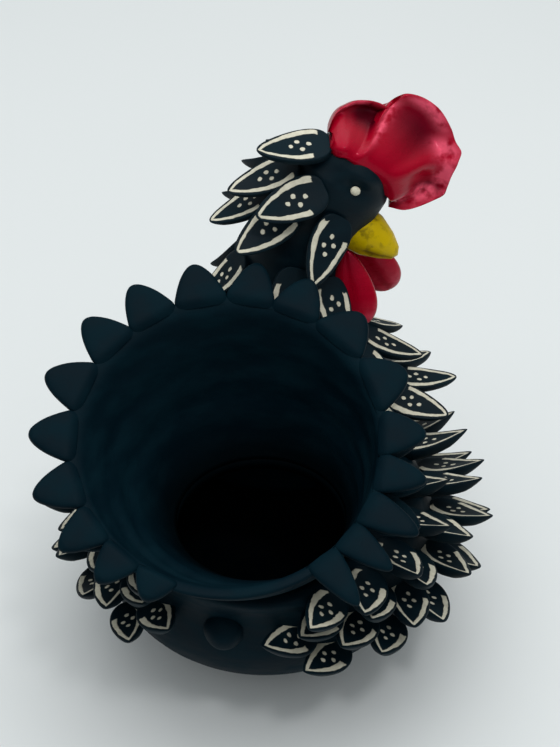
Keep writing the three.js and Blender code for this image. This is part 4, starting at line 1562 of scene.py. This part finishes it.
@dataclass
class Studio:
    """Pale floor, soft light and camera."""

    floor_size: float = 6.0
    # Distances from the hen at which the floor starts to turn into the backdrop and has done so.
    floor_fade: tuple[float, float] = (0.8, 2.4)
    paper: tuple[tuple[float, ...], ...] = ((0.735, 0.765, 0.765), (0.765, 0.79, 0.79))
    backdrop: tuple[float, float, float] = (0.75, 0.785, 0.785)
    horizon: tuple[float, float, float] = (0.08, 0.087, 0.09)
    overhead: tuple[float, float, float] = (0.84, 0.875, 0.885)
    # Name, place and side in metres, and power in watts, of each light.
    lights: tuple[tuple[str, tuple[float, float, float], float, float], ...] = (
        ("window", (-0.02, 0.14, 1.4), 1.4, 8.9), ("glint", (0.22, -0.42, 1.05), 0.12, 1.5),
    )
    aim_height: float = 0.08
    camera_place: tuple[float, float, float] = (0.00498, -0.34275, 0.40737)
    camera_pitch: float = math.radians(50.0)
    lens: float = 62.9
    sensor: float = 36.0

    def floor(self) -> None:
        """Large flat floor that takes the shadow and fades into the backdrop far away."""
        half = self.floor_size / 2
        mesh = bpy.data.meshes.new("floor")
        corners = [(-half, -half, 0.0), (half, -half, 0.0), (half, half, 0.0), (-half, half, 0.0)]
        mesh.from_pydata(corners, [], [(0, 1, 2, 3)])
        obj = bpy.data.objects.new("floor", mesh)
        bpy.context.scene.collection.objects.link(obj)
        sheet, material = start_material("floor_paper")
        place = sheet.add("ShaderNodeTexCoord").outputs["Object"]
        base = sheet.mix(sheet.noise(place, 3.0), *(colour(*tone) for tone in self.paper))
        away = sheet.add("ShaderNodeVectorMath", {0: place}, operation="LENGTH").outputs["Value"]
        fade = sheet.step(away, *self.floor_fade)
        base = sheet.mix(fade, base, colour(0.0, 0.0, 0.0))
        close_material(sheet, {"Base Color": base, "Roughness": 0.85, "Specular IOR Level": 0.1,
                               "Emission Color": colour(*self.backdrop), "Emission Strength": fade})
        mesh.materials.append(material)

    def light(self, name: str, place: tuple[float, float, float], size: float, power: float) -> None:
        """Soft square light that points at the hen.

        Args:
            name: Name of the light.
            place: Where it hangs, in metres.
            size: Length of its side in metres.
            power: Power in watts.
        """
        lamp = bpy.data.lights.new(name, "AREA")
        lamp.size = size
        lamp.energy = power
        obj = bpy.data.objects.new(name, lamp)
        obj.location = place
        back = np.array(place) - np.array([0.0, 0.0, self.aim_height])
        turn = math.atan2(back[0], -back[1])
        obj.rotation_euler = (math.atan2(math.hypot(back[0], back[1]), back[2]), 0.0, turn)
        bpy.context.scene.collection.objects.link(obj)

    def world(self) -> None:
        """Pale surroundings, brighter overhead than at the horizon, with a plain backdrop."""
        world = bpy.data.worlds.new("surroundings")
        world.use_nodes = True
        sheet = Sheet(world.node_tree)
        ray = sheet.add("ShaderNodeLightPath").outputs["Is Camera Ray"]
        way = sheet.add("ShaderNodeTexCoord").outputs["Generated"]
        height = sheet.add("ShaderNodeSeparateXYZ", {0: way}).outputs[2]
        sky = sheet.mix(sheet.step(height, 0.0, 1.0), colour(*self.horizon), colour(*self.overhead))
        seen = sheet.mix(ray, sky, colour(*self.backdrop))
        back = sheet.add("ShaderNodeBackground", {"Color": seen, "Strength": 1.0})
        sheet.add("ShaderNodeOutputWorld", {"Surface": back.outputs[0]})
        bpy.context.scene.world = world

    def camera(self) -> None:
        """Camera that looks down on the hen from behind."""
        lens = bpy.data.cameras.new("photo_camera")
        lens.lens = self.lens
        lens.sensor_width = self.sensor
        lens.clip_start = 0.01
        obj = bpy.data.objects.new("photo_camera", lens)
        obj.location = self.camera_place
        obj.rotation_euler = (self.camera_pitch, 0.0, 0.0)
        bpy.context.scene.collection.objects.link(obj)
        bpy.context.scene.camera = obj

    def build(self) -> None:
        """Sets up floor, lights, surroundings and camera."""
        self.floor()
        self.world()
        for light in self.lights:
            self.light(*light)
        self.camera()
        bpy.context.scene.view_settings.view_transform = "Standard"


def main() -> None:
    """Builds the hen piece by piece, then the studio."""
    logging.basicConfig(level=logging.INFO, format="%(name)s %(message)s")
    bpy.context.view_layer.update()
    rng = np.random.default_rng(17)
    finishes = Finishes.make()
    pot = PotForm()
    neck = NeckForm()
    PotBody(pot, finishes).build()
    TailFunnel(FunnelForm(), finishes, rng).build()
    NeckAndHead(neck, finishes).build()
    FeatherCoat(pot, neck, finishes, rng).build()
    HeadPieces(neck, finishes).build()
    Studio().build()


if __name__ == "__main__":
    main()
